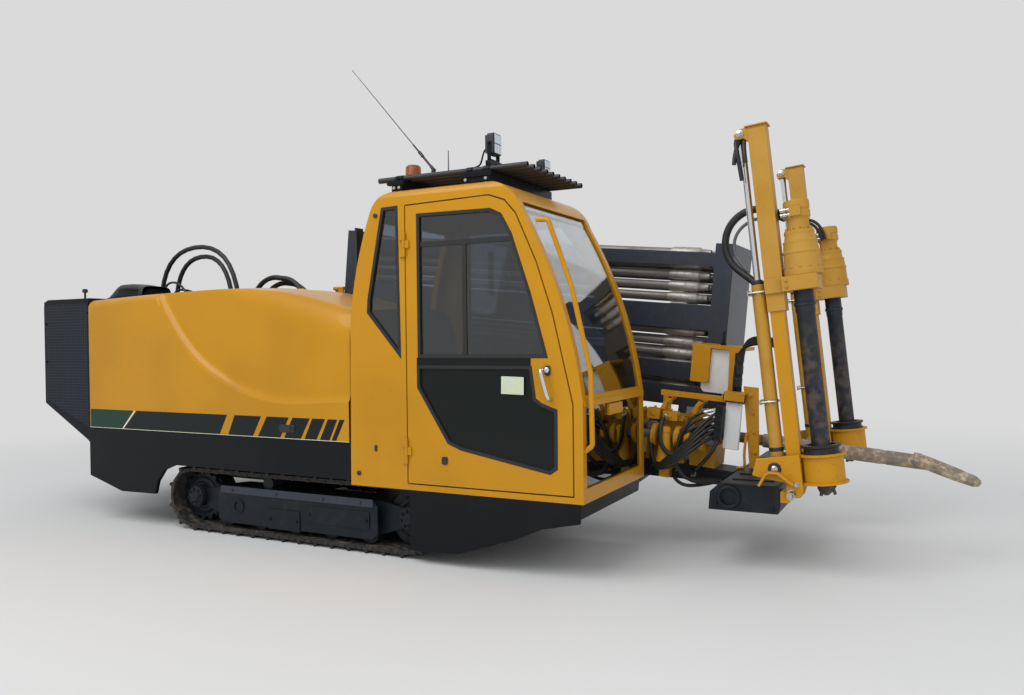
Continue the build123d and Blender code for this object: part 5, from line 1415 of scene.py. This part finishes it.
class RIG_OT_clamps(Operator):
    """Build the vises, with their cylinders, fittings and hoses"""
    bl_idname = "rig.clamps"
    bl_label = "Vises"

    DISC_W = 0.284

    def execute(self, context):
        castings, cylinders = Shape(RACK), Shape(RACK)
        for u, length, places in ((0.330, 0.300, (0.04, 0.21, 0.26)), (0.700, 0.260, (0.062, 0.214)),
                                  (1.000, 0.165, (-0.016, 0.075))):
            self.vise(castings, cylinders, u, length, places)
        castings.turned((0.868, -0.066, 0.352), (0.01, 0, -1), (
            (0, 0.024), (0.010, 0.032), (0.034, 0.034), (0.036, 0.030), (0.200, 0.046), (0.204, 0.050),
            (0.228, 0.050)), 36)
        castings.box((0.842, -0.050, 0.020), (0.905, 0.0797, 0.075))
        for u in (0.790, 0.998):
            for y in (0.020, 0.122):
                castings.plate(((u, 0.452), (u + 0.036, 0.452), (u + 0.050, 0.500), (u + 0.074, 0.520),
                                (u + 0.080, 0.5397),
                                (u + 0.052, 0.5397), (u + 0.030, 0.512)), "Y", y, y + 0.014)
            castings.box((u + 0.050, 0.020, 0.528), (u + 0.078, 0.136, 0.5397))
        castings.piece("vise_castings", "rack", "working_yellow", "yellow", replaces=["vise_group"],
                       bevel=0.003)
        castings.turned((0.870, -0.066, 0.124), (0.04, 0, -1), (
            (0, 0.030), (0.110, 0.034), (0.114, 0.040), (0.136, 0.040), (0.142, 0.028)), 32)
        cylinders.piece("vise_cylinders", "rack", "machine_grey", "grey", bevel=0.001)
        self.plumbing()
        self.upper_bracket()
        return {"FINISHED"}

    def vise(self, castings, cylinders, u, length, places):
        """One vise block, with its lid, ports, clamp cylinder and ribbed discs."""
        end = u + length
        castings.box((u, 0.085, 0.1003), (end, 0.350, 0.2457))
        castings.plate(((0.085, 0.2455), (0.140, 0.2455), (0.140, 0.300), (0.128, 0.345), (0.128, 0.3807),
                        (0.085, 0.3807)),
                       "X", u + 0.006, end - 0.006)
        castings.plate(((0.262, 0.2455), (0.350, 0.2455), (0.350, 0.3807), (0.274, 0.3807), (0.274, 0.345),
                        (0.262, 0.300)),
                       "X", u + 0.006, end - 0.006)
        for low, high in ((0.050, 0.148), (0.266, 0.356)):
            castings.plate(rounded((u + 0.012, low), (end - 0.012, high), 0.012), "Z", 0.381, 0.401)
            for x in (u + 0.036, end - 0.036):
                for y in (low + 0.022, high - 0.022):
                    castings.bolt((x, y, 0.401), (0, 0, 1), 0.020, 0.013)
        for low, high, front, top in ((u + 0.015, u + 0.100, -0.006, 0.452),
                                      (u + 0.118, min(u + 0.215, end - 0.008), 0.004, 0.444)):
            castings.box((low, front, 0.383), (high, 0.060, top))
            castings.bolt(((low + high) / 2, front, top - 0.032), (0, -1, 0), 0.026, 0.010)
            castings.bolt(((low + high) / 2, 0.030, top), (0, 0, 1), 0.020, 0.012)
        cylinders.turned((u + 0.068, 0.0846, 0.322), (0, -1, 0), (
            (0, 0.050), (0.012, 0.050), (0.014, 0.044), (0.062, 0.044), (0.064, 0.049), (0.084, 0.049),
            (0.088, 0.040)), 36)
        for a, b in circle(6, 0.032):
            cylinders.bolt((u + 0.068 + a, -0.0034, 0.322 + b), (0, -1, 0), 0.012, 0.007)
        for place in places:
            castings.turned((u + place, -0.006, self.DISC_W), (1, 0, 0), (
                (0, 0.050), (0.003, 0.064), (0.008, 0.072), (0.017, 0.073), (0.019, 0.070), (0.024, 0.070),
                (0.026, 0.073), (0.036, 0.072), (0.042, 0.064), (0.044, 0.050)), 48)
        cylinders.rod((u - 0.004, -0.006, self.DISC_W), (end, -0.006, self.DISC_W), 0.028, 28, 0.004)
        castings.box((u + 0.030, 0.020, self.DISC_W - 0.025), (end - 0.030, 0.0847, self.DISC_W + 0.025))

    def plumbing(self):
        """The manifold and the hoses that hang from it to the vises."""
        manifold, fittings = Shape(RACK), Shape(RACK)
        manifold.box((1.166, -0.034, 0.300), (1.214, 0.048, 0.522))
        manifold.box((1.170, 0.040, 0.500), (1.212, 0.078, 0.540))
        for row in range(5):
            manifold.bolt((1.190, -0.034, 0.330 + row * 0.040), (0, -1, 0), 0.014, 0.008)
        routes = []
        for index in range(10):
            row, column = divmod(index, 2)
            start = Vector((1.166, -0.022 + column * 0.040, 0.492 - row * 0.041))
            way = Vector((-1, -0.20, -0.30)).normalized()
            fittings.turned(start, way, ((0, 0.012), (0.014, 0.012)), 6)
            fittings.turned(start + way * 0.014, way, ((0, 0.008), (0.010, 0.008), (0.012, 0.0125),
                                                       (0.030, 0.0125)), 16)
            fittings.turned(start + way * 0.030, way, ((0, 0.0105), (0.004, 0.0118), (0.040, 0.0118),
                                                       (0.046, 0.0098)), 16)
            tail = start + way * 0.072
            routes.append((tail, tail + way * 0.05, (0.992 - 0.010 * row, -0.066 - 0.020 * column,
                                                     tail.z - 0.078),
                           (0.946 - 0.006 * row, -0.090 - 0.018 * column, 0.205 - 0.012 * row),
                           (0.965 + 0.014 * row, -0.092 - 0.014 * column, 0.082 - 0.010 * row),
                           (1.052 + 0.012 * row, -0.060, 0.014 + 0.010 * column),
                           (1.098 + 0.014 * index, 0.010, 0.030), (1.098 + 0.014 * index, 0.0785, 0.048)))
        hose("vise_hoses", "rack", routes, 0.0092, local=RACK)
        front = ((0.846, -0.010, 0.410), (0.842, -0.072, 0.402), (0.842, -0.120, 0.330),
                 (0.858, -0.128, 0.235), (0.930, -0.122, 0.172), (1.020, -0.100, 0.190),
                 (1.080, -0.070, 0.280), (1.120, -0.048, 0.340))
        hose("vise_front_hose", "rack", [front], 0.0145, local=RACK)
        cross = []
        for index in range(5):
            lift, out = 0.022 * index, 0.012 * index
            cross.append(((1.168, -0.020, 0.470 - lift * 1.6), (1.110, -0.060 - out, 0.420 - lift * 1.6),
                          (1.040, -0.098 - out, 0.300 - lift), (0.960, -0.112 - out, 0.215 - lift),
                          (0.900, -0.118 - out, 0.150 - lift * 0.6), (0.840, -0.100, 0.110 - lift * 0.4),
                          (0.790, -0.060, 0.090 + lift * 0.5), (0.760, 0.000, 0.085 + lift),
                          (0.740, 0.080, 0.090 + lift)))
        hose("vise_cross_hoses", "rack", cross, 0.0098, local=RACK)
        fittings.turned((0.846, -0.004, 0.410), (0, -1, -0.10),
                        ((0, 0.017), (0.020, 0.017), (0.022, 0.014), (0.050, 0.014)), 18)
        for u, w in ((0.855, 0.075), (0.920, 0.066), (1.040, 0.050)):
            fittings.turned((u, 0.0797, w), (0, -1, 0), ((0, 0.016), (0.016, 0.016), (0.018, 0.012),
                                                         (0.050, 0.012)), 16)
        low = [((0.855, 0.032, 0.075), (0.850, -0.050, 0.080), (0.800, -0.080, 0.120), (0.770, -0.060, 0.200),
                (0.765, 0.000, 0.300)),
               ((0.920, 0.032, 0.066), (0.925, -0.060, 0.050), (0.985, -0.070, -0.010),
                (1.070, -0.030, -0.012), (1.150, 0.020, 0.010), (1.230, 0.040, 0.040)),
               ((1.040, 0.032, 0.050), (1.050, -0.050, 0.070), (1.120, -0.060, 0.140), (1.180, -0.045, 0.240),
                (1.196, -0.020, 0.300))]
        hose("vise_low_hoses", "rack", low, 0.0115, local=RACK)
        fittings.piece("vise_fittings", "rack", "plated_fitting", "chrome")
        manifold.piece("hose_manifold", "rack", "frame_black", "black", bevel=0.002)

    def upper_bracket(self):
        """What stands on the bracket over the vises, and the hoses to the anchors."""
        screw = Shape(RACK)
        screw.rod((1.100, 0.320, 0.812), (1.100, 0.320, 0.985), 0.010, 16)
        screw.turned((1.100, 0.320, 0.812), (0, 0, 1), ((0, 0.042), (0.006, 0.042), (0.010, 0.020),
                                                        (0.024, 0.014)), 28)
        for w in (0.892, 0.846):
            screw.turned((1.100, 0.320, w), (0, 0, 1), ((0, 0.019), (0.018, 0.019)), 6)
        screw.piece("levelling_screw", "rack", "frame_black", "black", bevel=0.001)
        plate = Shape(RACK)
        plate.plate(((0.990, 0.866), (1.166, 0.866), (1.212, 0.610), (1.186, 0.5753), (1.010, 0.5753),
                     (0.990, 0.600)), "Y", 0.2402, 0.2460)
        plate.piece("bracket_plate", "rack", "pale_plate", "grey", bevel=0.001)
        trim = Shape(RACK)
        trim.box((1.205, -0.018, 0.604), (1.336, 0.056, 0.616))
        trim.plate(((1.205, 0.560), (1.212, 0.560), (1.212, 0.604), (1.205, 0.604)), "Y", -0.018, 0.0495)
        trim.box((1.205, -0.018, 0.560), (1.336, -0.012, 0.604))
        trim.piece("guard_lip", "rack", "working_yellow", "yellow", bevel=0.0015)
        dark = Shape(RACK)
        dark.box((1.214, -0.010, 0.5503), (1.330, 0.0495, 0.603))
        dark.piece("guard_top", "rack", "black_plastic", "black", bevel=0.002)
        post = Shape()
        for x, z in ((2.012, 0.970), (2.022, 0.860), (2.030, 0.740), (2.034, 0.610)):
            post.bolt((x, 0.0500, z), (0, -1, 0), 0.018, 0.010)
        post.bent(((1.988, 0.046, 0.735), (1.980, 0.034, 0.680), (1.974, 0.026, 0.600), (1.976, 0.020, 0.535),
                   (1.962, 0.018, 0.518), (1.926, 0.018, 0.5155)), 0.0085, 10)
        post.piece("post_fittings", "rack", "working_yellow", "yellow", bevel=0.001)
        routes = [((1.240 + k * 0.012, 0.118 + 0.016 * (k % 2), 0.576), (1.236 + k * 0.012, 0.112, 0.700),
                   (1.240 + k * 0.012, 0.104, 0.830), (1.290, 0.080, 0.915 + k * 0.012),
                   (1.400, 0.020, 0.940 + k * 0.013),
                   (1.520, -0.120, 0.935 + k * 0.012), (1.600, -0.300, 0.900 + k * 0.010)) for k in range(4)]
        hose("bracket_hoses", "rack", routes, 0.011, local=RACK)
        wraps = Shape(RACK)
        for w in (0.640, 0.720, 0.800):
            wraps.turned((1.257, 0.117, w), (0, 0, 1), ((0, 0.026), (0.004, 0.0295), (0.056, 0.0295),
                                                        (0.060, 0.026)), 20)
        wraps.piece("hose_wraps", "rack", "hose_rubber", "rubber")


class RIG_OT_head(Operator):
    """Shape the muddy drill head and its slanted blade"""
    bl_idname = "rig.head"
    bl_label = "Drill head"

    def execute(self, context):
        y, w = DRILL_AXIS.y, DRILL_AXIS.z
        head = Shape(RACK)
        head.turned((1.372, y, w), (1, 0, 0), (
            (0, 0.0345), (0.060, 0.0345), (0.066, 0.0435), (0.300, 0.0440), (0.306, 0.0415), (0.318, 0.0415),
            (0.324, 0.0440), (0.760, 0.0440), (0.772, 0.0415), (0.786, 0.0415), (0.796, 0.0435),
            (0.930, 0.0430)), 40)
        head.sheet(self.nose, 20, 28)
        head.piece("head_body", "string", "muddy_steel", "steel", replaces=["drill_head"], crease=50)
        blade = Shape(RACK)
        outline = [(0.000, -0.034), (0.020, -0.043), (0.120, -0.046), (0.260, -0.043), (0.345, -0.036),
                   (0.372, -0.020), (0.380, 0.000), (0.372, 0.020), (0.345, 0.036), (0.260, 0.043),
                   (0.120, 0.046), (0.020, 0.043),
                   (0.000, 0.034)]
        tilt, roll = radians(16.0), radians(42.0)
        along_way = Vector((cos(tilt), 0, -sin(tilt)))
        face = Vector((sin(tilt) * cos(roll), -sin(roll), cos(tilt) * cos(roll)))
        across_way = face.cross(along_way)
        start = Vector((2.300, y - 0.022, w + 0.022))
        for low, high, inset in ((0.0, 0.014, 0.0), (0.014, 0.020, 0.10)):
            points = [start + along_way * (along + (0.19 - along) * inset * 0.4)
                      + across_way * across * (1 - inset) + face * (depth + 0.10 * (along - 0.10) ** 2)
                      for depth in (low, high) for along, across in outline]
            blade.add(points, walls(2, len(outline)))
        for along in (0.050, 0.130):
            for across in (-0.020, 0.020):
                blade.bolt(start + along_way * along + across_way * across + face * 0.020, face, 0.016, 0.008)
        blade.piece("head_blade", "string", "muddy_steel", "steel", bevel=0.003)
        return {"FINISHED"}

    def nose(self, along, around):
        """The cut-off nose under the blade: round below and flat above."""
        angle = 2 * pi * around
        reach = 0.215 * along
        radius = 0.0430 * sqrt(max(0.0, 1 - (along ** 4)))
        top = 0.040 - 0.33 * reach
        z = min(radius * sin(angle), top)
        return 2.302 + reach, DRILL_AXIS.y + radius * cos(angle), DRILL_AXIS.z + z


class RIG_OT_anchors(Operator):
    """Finish the anchors' cylinders, motors, augers and drums"""
    bl_idname = "rig.anchors"
    bl_label = "Anchors"

    # How far forward the axes stand of the mast's middle
    CYLINDER, MOTOR = -0.094, 0.157

    def execute(self, context):
        for side, out in (("near", -1), ("far", 1)):
            mast, body = MASTS[side], f"{side}_slider"
            self.cylinder(mast, side, body, out)
            self.motor(mast, side, body)
            self.auger(mast, side)
            self.drum(mast, side)
        self.hoses()
        self.foot()
        return {"FINISHED"}

    def cylinder(self, mast, side, body, out):
        """The mast's cap, and the pins, clamps and seals of its cylinder."""
        pins, clamps, pads = Shape(mast), Shape(mast), Shape(mast)
        for hand in (-1, 1):
            pins.turned((self.CYLINDER, hand * 0.045, 1.812), (0, hand, 0), (
                (0, 0.022), (0.005, 0.022), (0.006, 0.015), (0.012, 0.015), (0.014, 0.012)), 24)
        cap = Shape(mast)
        cap.box((-0.064, -0.057, 1.8402), (0.060, 0.057, 1.8480))
        cap.piece(f"{side}_mast_cap", body, "faded_yellow", "yellow", bevel=0.0015)
        pins.piece(f"{side}_rod_pins", body, "plated_fitting", "chrome")
        for h in (0.905, 0.290):
            clamps.ring((self.CYLINDER, 0, h), (self.CYLINDER, 0, h + 0.016), 0.0408, 0.0383, 36)
            for hand in (-1, 1):
                clamps.rod((self.CYLINDER - 0.050, hand * 0.044, h + 0.008),
                           (self.CYLINDER + 0.028, hand * 0.044, h + 0.008), 0.0060, 10)
                clamps.bolt((self.CYLINDER + 0.028, hand * 0.044, h + 0.008), (1, 0, 0), 0.014, 0.009)
            clamps.box((self.CYLINDER - 0.056, -0.052, h - 0.006), (self.CYLINDER - 0.048, 0.052, h + 0.022))
        clamps.piece(f"{side}_barrel_clamps", "rack", "plated_fitting", "chrome", bevel=0.0008)
        pads.turned((self.CYLINDER, 0, 0.9575), (0, 0, 1), ((0, 0.036), (0.016, 0.036), (0.020, 0.030),
                                                            (0.026, 0.0265)), 32)
        pads.turned((self.CYLINDER, 0, 0.020), (0, 0, 1), ((0, 0.0405), (0.020, 0.0405), (0.022, 0.0383)), 32)
        face = out * 0.0803
        pads.turned((-0.100, face, -0.070), (0, out, 0), ((0, 0.036), (0.004, 0.036), (0.006, 0.031),
                                                          (0.008, 0.031)), 32)
        pads.piece(f"{side}_barrel_head", "rack", "black_plastic", "black", bevel=0.0008)
        heads = Shape(mast)
        heads.turned((-0.100, face + out * 0.007, -0.070), (0, out, 0), (
            (0, 0.020), (0.010, 0.020), (0.014, 0.016), (0.016, 0.006)), 24)
        heads.bolt((-0.022, face, -0.205), (0, out, 0), 0.028, 0.016)
        heads.bolt((0.006, face, -0.160), (0, out, 0), 0.020, 0.012)
        heads.piece(f"{side}_base_pins", "rack", "plated_fitting", "chrome")

    def motor(self, mast, side, body):
        """The gearbox and motor over the auger, with their bolts and ports."""
        motor = Shape(mast)
        foot = (self.MOTOR, 0, 0.9752)
        motor.turned(foot, (0, 0, 1), (
            (0, 0.102), (0.004, 0.104), (0.036, 0.104), (0.040, 0.098), (0.120, 0.096), (0.123, 0.099),
            (0.135, 0.099), (0.138, 0.095), (0.176, 0.090), (0.180, 0.092), (0.190, 0.092), (0.196, 0.084),
            (0.222, 0.078), (0.228, 0.081), (0.246, 0.081), (0.252, 0.060), (0.300, 0.057), (0.312, 0.060),
            (0.318, 0.066)), 48)
        motor.turned((self.MOTOR, 0, 1.290), (0, 0, 1), (
            (0, 0.064), (0.006, 0.070), (0.040, 0.070), (0.043, 0.066), (0.050, 0.066), (0.053, 0.070),
            (0.092, 0.070), (0.100, 0.064)), 14)
        for a, b in circle(12, 0.0915):
            motor.bolt((self.MOTOR + a, b, 1.0155), (0, 0, 1), 0.015, 0.010)
        for a, b in circle(8, 0.069, pi / 8):
            motor.bolt((self.MOTOR + a, b, 1.2212), (0, 0, 1), 0.014, 0.016)
        for hand in (-1, 1):
            motor.box((self.MOTOR - 0.030, hand * 0.060 - 0.018, 1.300),
                      (self.MOTOR + 0.030, hand * 0.060 + 0.018, 1.352))
        for h in (0.918, 0.952):
            for hand in (-1, 1):
                motor.bolt((0.075, hand * 0.1051, h), (0, hand, 0), 0.014, 0.009)
        motor.piece(f"{side}_motor", body, "faded_yellow", "yellow", replaces=[f"auger_motor_{side}"],
                    bevel=0.0012)
        ports = Shape(mast)
        for hand in (-1, 1):
            for h in (1.312, 1.340):
                ports.turned((self.MOTOR - 0.028, hand * 0.052, h), (-1, 0, 0), (
                    (0, 0.013), (0.012, 0.013), (0.014, 0.010), (0.020, 0.010), (0.022, 0.0135),
                    (0.052, 0.0130)), 16)
        ports.piece(f"{side}_motor_ports", body, "plated_fitting", "chrome")

    def auger(self, mast, side):
        """The auger's pipe, its flight and its three teeth."""
        pipe = Shape(mast)
        pipe.turned((AUGER_FORWARD, 0, 0), (0, 0, 1), (
            (-0.178, 0.050), (0.772, 0.050), (0.776, 0.053), (0.806, 0.053), (0.810, 0.058), (0.826, 0.058),
            (0.830, 0.053), (0.8945, 0.053)), 40)
        pipe.turned((AUGER_FORWARD, 0, 0), (0, 0, 1), ((-0.234, 0.012), (-0.214, 0.036), (-0.200, 0.044),
                                                       (-0.178, 0.044)), 6)
        steps, points = 96, []
        for step in range(steps + 1):
            angle = 2 * pi * 1.75 * step / steps
            h = -0.198 + 0.100 * step / steps
            reach = 0.051 + 0.021 * smooth(min(step, steps - step) / 10)
            for radius, lift in ((0.046, 0.0), (reach, 0.0), (reach, 0.008), (0.046, 0.008)):
                points.append((AUGER_FORWARD + radius * cos(angle), radius * sin(angle), h + lift))
        pipe.add(points, walls(steps + 1, 4))
        for c, s in circle(3, 1.0):
            pipe.rod((AUGER_FORWARD + 0.034 * c, 0.034 * s, -0.184),
                     (AUGER_FORWARD + 0.046 * c, 0.046 * s, -0.232), 0.009, 6)
        pipe.piece(f"{side}_auger_pipe", f"{side}_auger", "worn_brown_steel", "rods",
                   replaces=[f"auger_{side}"], crease=40)

    def drum(self, mast, side):
        """The rubber ring round the auger, at the foot of the mast."""
        ring = Shape(mast)
        ring.turned((AUGER_FORWARD, 0, -0.0027), (0, 0, 1), (
            (0, 0.102), (0.006, 0.102), (0.009, 0.094), (0.030, 0.092), (0.034, 0.104), (0.047, 0.104),
            (0.0475, 0.074),
            (0, 0.072)), 48, closed=True)
        ring.piece(f"{side}_drum_seal", "rack", "hose_rubber", "rubber", replaces=[f"drum_ring_{side}"],
                   bevel=0.0015)

    def hoses(self):
        """The hoses that ride with each slider."""
        near, far = MASTS["near"], MASTS["far"]
        loop = ((0.080, 0.052, 1.326), (0.020, 0.076, 1.372), (-0.060, 0.092, 1.402), (-0.150, 0.108, 1.400),
                (-0.246, 0.124, 1.340), (-0.290, 0.130, 1.230), (-0.262, 0.124, 1.110),
                (-0.180, 0.108, 1.030), (-0.112, 0.088, 0.970), (-0.070, 0.078, 0.900))
        hose("near_motor_hose", "near_slider", [loop], 0.0215, local=near)
        inner = ((0.080, 0.052, 1.300), (0.010, 0.084, 1.346), (-0.090, 0.110, 1.352), (-0.190, 0.124, 1.310),
                 (-0.242, 0.130, 1.220), (-0.222, 0.126, 1.130), (-0.160, 0.112, 1.050))
        hose("near_motor_pipe", "near_slider", [inner], 0.0095, "machine_grey", near)
        hose("far_motor_hoses", "far_slider", (
            ((0.080, -0.052, 1.312), (0.030, -0.090, 1.350), (-0.010, -0.110, 1.420), (0.060, -0.125, 1.440),
             (0.120, -0.118, 1.380), (0.135, -0.112, 1.290)),
            ((0.080, -0.052, 1.340), (0.020, -0.085, 1.380), (0.000, -0.100, 1.450), (0.080, -0.110, 1.455),
             (0.140, -0.104, 1.390), (0.152, -0.100, 1.300)),
            ((0.080, 0.052, 1.312), (0.020, 0.070, 1.330), (-0.060, 0.080, 1.280), (-0.075, 0.080, 1.150),
             (-0.060, 0.078, 0.980))), 0.010, local=far)
        hose("rod_straps", "near_slider", (
            ((-0.112, 0.012, 1.800), (-0.122, -0.045, 1.785), (-0.116, -0.068, 1.735),
             (-0.108, -0.070, 1.620), (-0.104, -0.068, 1.545)),
            ((-0.080, 0.010, 1.795), (-0.072, -0.045, 1.785), (-0.078, -0.068, 1.730),
             (-0.074, -0.068, 1.640)),
            ((-0.098, 0.004, 1.795), (-0.100, -0.045, 1.780), (-0.126, -0.068, 1.720),
             (-0.138, -0.068, 1.640))), 0.0125,
             local=near)

    def foot(self):
        """The ring, plates, guide and bolts on the front cross beam."""
        steel = Shape()
        ring = [Vector((2.002 + 0.056 * cos(a), -0.5300 - 0.016 * sin(a / 2) ** 2, 0.432 + 0.056 * sin(a)))
                for a in [2 * pi * step / 28 for step in range(28)]]
        steel.followed(ring + ring[:1], 0.0095, 10)
        steel.box((2.040, -0.536, 0.402), (2.064, -0.5202, 0.462))
        steel.plate(rounded((1.900, 0.496), (2.270, 0.5085), 0.005), "Y", -0.5232, -0.5202)
        for x in (1.925, 2.240):
            steel.bolt((x, -0.5202, 0.385), (0, -1, 0), 0.022, 0.012)
        for y in (-0.380, -0.180, 0.550, 0.780):
            steel.box((1.990, y - 0.010, 0.5093), (2.230, y + 0.010, 0.5160))
        steel.piece("foot_fittings", "rack", "frame_black", "black", bevel=0.0015)
        guide = Shape()
        guide.plate(((2.175, 0.520), (2.212, 0.588), (2.236, 0.600), (2.284, 0.598), (2.368, 0.541),
                     (2.360, 0.529),
                     (2.281, 0.585), (2.238, 0.587), (2.222, 0.578), (2.187, 0.513)), "Y", -0.600, -0.5503)
        guide.piece("foot_guide", "rack", "working_yellow", "yellow", bevel=0.002)
        shackle = Shape()
        for hand, y in ((-1, -0.595), (1, 0.995)):
            shackle.bolt((2.352, y, 0.470), (0, hand, 0), 0.030, 0.016)
        shackle.piece("foot_bolts", "rack", "plated_fitting", "chrome")


class RIG_OT_inside(Operator):
    """Furnish the cab with its seat, levers, keys and screen"""
    bl_idname = "rig.inside"
    bl_label = "Cab inside"

    SEAT_Y = -0.610
    CHANNELS = (-0.55, 0.55)
    FILL = 0.7

    def pad(self, low, high, crown):
        """A stuffed pad, crowned on its front and drawn in along its sewn channels."""
        def square(value, power):
            return copysign(abs(value) ** power, value)
        shape = Shape()
        half_y = (high[1] - low[1]) / 2
        middle = [(a + b) / 2 for a, b in zip(low, high)]
        half_x, half_z = (high[0] - low[0]) / 2, (high[2] - low[2]) / 2
        rings, steps = 22, 40
        points = []
        for ring in range(rings + 1):
            v = pi * (ring / rings - 0.5)
            for step in range(steps):
                angle = 2 * pi * step / steps
                a = square(cos(angle), 0.42) * square(cos(v), 0.42)
                b = square(sin(angle), 0.42) * square(cos(v), 0.42)
                c = square(sin(v), 0.60)
                swell = 1 + crown * (1 - a * a) * (1 - b * b)
                groove = sum(exp(-((b - at) / 0.045) ** 2) for at in self.CHANNELS)
                rise = half_z * (c * swell - 0.22 * groove * max(c, 0))
                points.append((middle[0] + half_x * a, middle[1] + half_y * b, middle[2] + rise))
        shape.add(points, walls(rings + 1, steps)[:-2])
        return shape

    def execute(self, context):
        cushion = self.pad((0.150, -0.840, 0.875), (0.650, -0.380, 0.995), 0.16)
        made = cushion.piece("seat_cushion", "chassis", "seat_cloth", "black", replaces=["seat"])
        back = self.pad((0.0, -0.820, 0.0), (0.600, -0.400, 0.120), 0.14)
        turn = Matrix.Translation(Vector((0.235, 0, 0.965))) @ Matrix.Rotation(radians(-102), 4, "Y")
        back.points = [turn @ point for point in back.points]
        made = back.piece("seat_back", "chassis", "seat_cloth", "black")
        base = Shape()
        base.box((0.210, self.SEAT_Y - 0.150, 0.5453), (0.520, self.SEAT_Y + 0.150, 0.640))
        for step in range(7):
            z = 0.650 + step * 0.030
            fold = 0.006 * (step % 2)
            base.plate(rounded((0.226 - fold, self.SEAT_Y - 0.140), (0.504 + fold, self.SEAT_Y + 0.140),
                               0.030), "Z", z, z + 0.026)
        base.plate(rounded((0.170, self.SEAT_Y - 0.190), (0.610, self.SEAT_Y + 0.190), 0.040), "Z", 0.858,
                   0.886)
        base.piece("seat_base", "chassis", "black_plastic", "black", bevel=0.003)
        self.controls()
        return {"FINISHED"}

    def controls(self):
        """A joystick and keys on each console, and a screen on its post."""
        panel, keys = Shape(), Shape()
        for y in (-0.966, -0.284):
            panel.turned((0.690, y, 1.118), (0.04, 0, 1), (
                (0, 0.034), (0.008, 0.034), (0.012, 0.012), (0.060, 0.010), (0.066, 0.018), (0.120, 0.023),
                (0.150, 0.021), (0.158, 0.010)), 24)
            for row in range(3):
                for column in range(2):
                    keys.box((0.420 + row * 0.060, y - 0.028 + column * 0.034, 1.1203),
                             (0.446 + row * 0.060, y - 0.006 + column * 0.034, 1.128))
        panel.plate(((1.060, 1.080), (1.082, 1.074), (1.128, 1.292), (1.106, 1.298)), "Y", -0.400, -0.180)
        panel.rod((1.092, -0.290, 1.000), (1.095, -0.290, 1.120), 0.014, 12)
        panel.box((1.040, -0.330, 0.5453), (1.140, -0.250, 1.004))
        panel.piece("cab_controls", "chassis", "black_plastic", "black", bevel=0.003)
        keys.piece("console_keys", "chassis", "machine_grey", "grey", bevel=0.001)


STEPS = [RIG_OT_finish_frame, RIG_OT_hood, RIG_OT_cab, RIG_OT_inside, RIG_OT_roof, RIG_OT_rear, RIG_OT_tracks,
         RIG_OT_rods, RIG_OT_clamps, RIG_OT_head, RIG_OT_anchors, RIG_OT_stage]


class RIG_PT_panel(Panel):
    """The steps of the dressing, in order"""
    bl_idname = "RIG_PT_panel"
    bl_label = "Drilling rig"
    bl_space_type = "VIEW_3D"
    bl_region_type = "UI"
    bl_category = "Rig"

    def draw(self, context):
        for step in STEPS:
            self.layout.operator(step.bl_idname)
        for name in SETTINGS:
            box = self.layout.box()
            settings = getattr(context.scene, name)
            for field in settings.bl_rna.properties.keys():
                if field not in ("rna_type", "name"):
                    box.prop(settings, field)


def register():
    for kind in (*SETTINGS.values(), *STEPS, RIG_PT_panel):
        bpy.utils.register_class(kind)
    for name, kind in SETTINGS.items():
        setattr(bpy.types.Scene, name, PointerProperty(type=kind))


def unregister():
    for name in SETTINGS:
        delattr(bpy.types.Scene, name)
    for kind in (RIG_PT_panel, *reversed(STEPS), *reversed(list(SETTINGS.values()))):
        bpy.utils.unregister_class(kind)


def main():
    register()
    for step in STEPS:
        group, name = step.bl_idname.split(".")
        getattr(getattr(bpy.ops, group), name)()


if __name__ == "__main__":
    main()
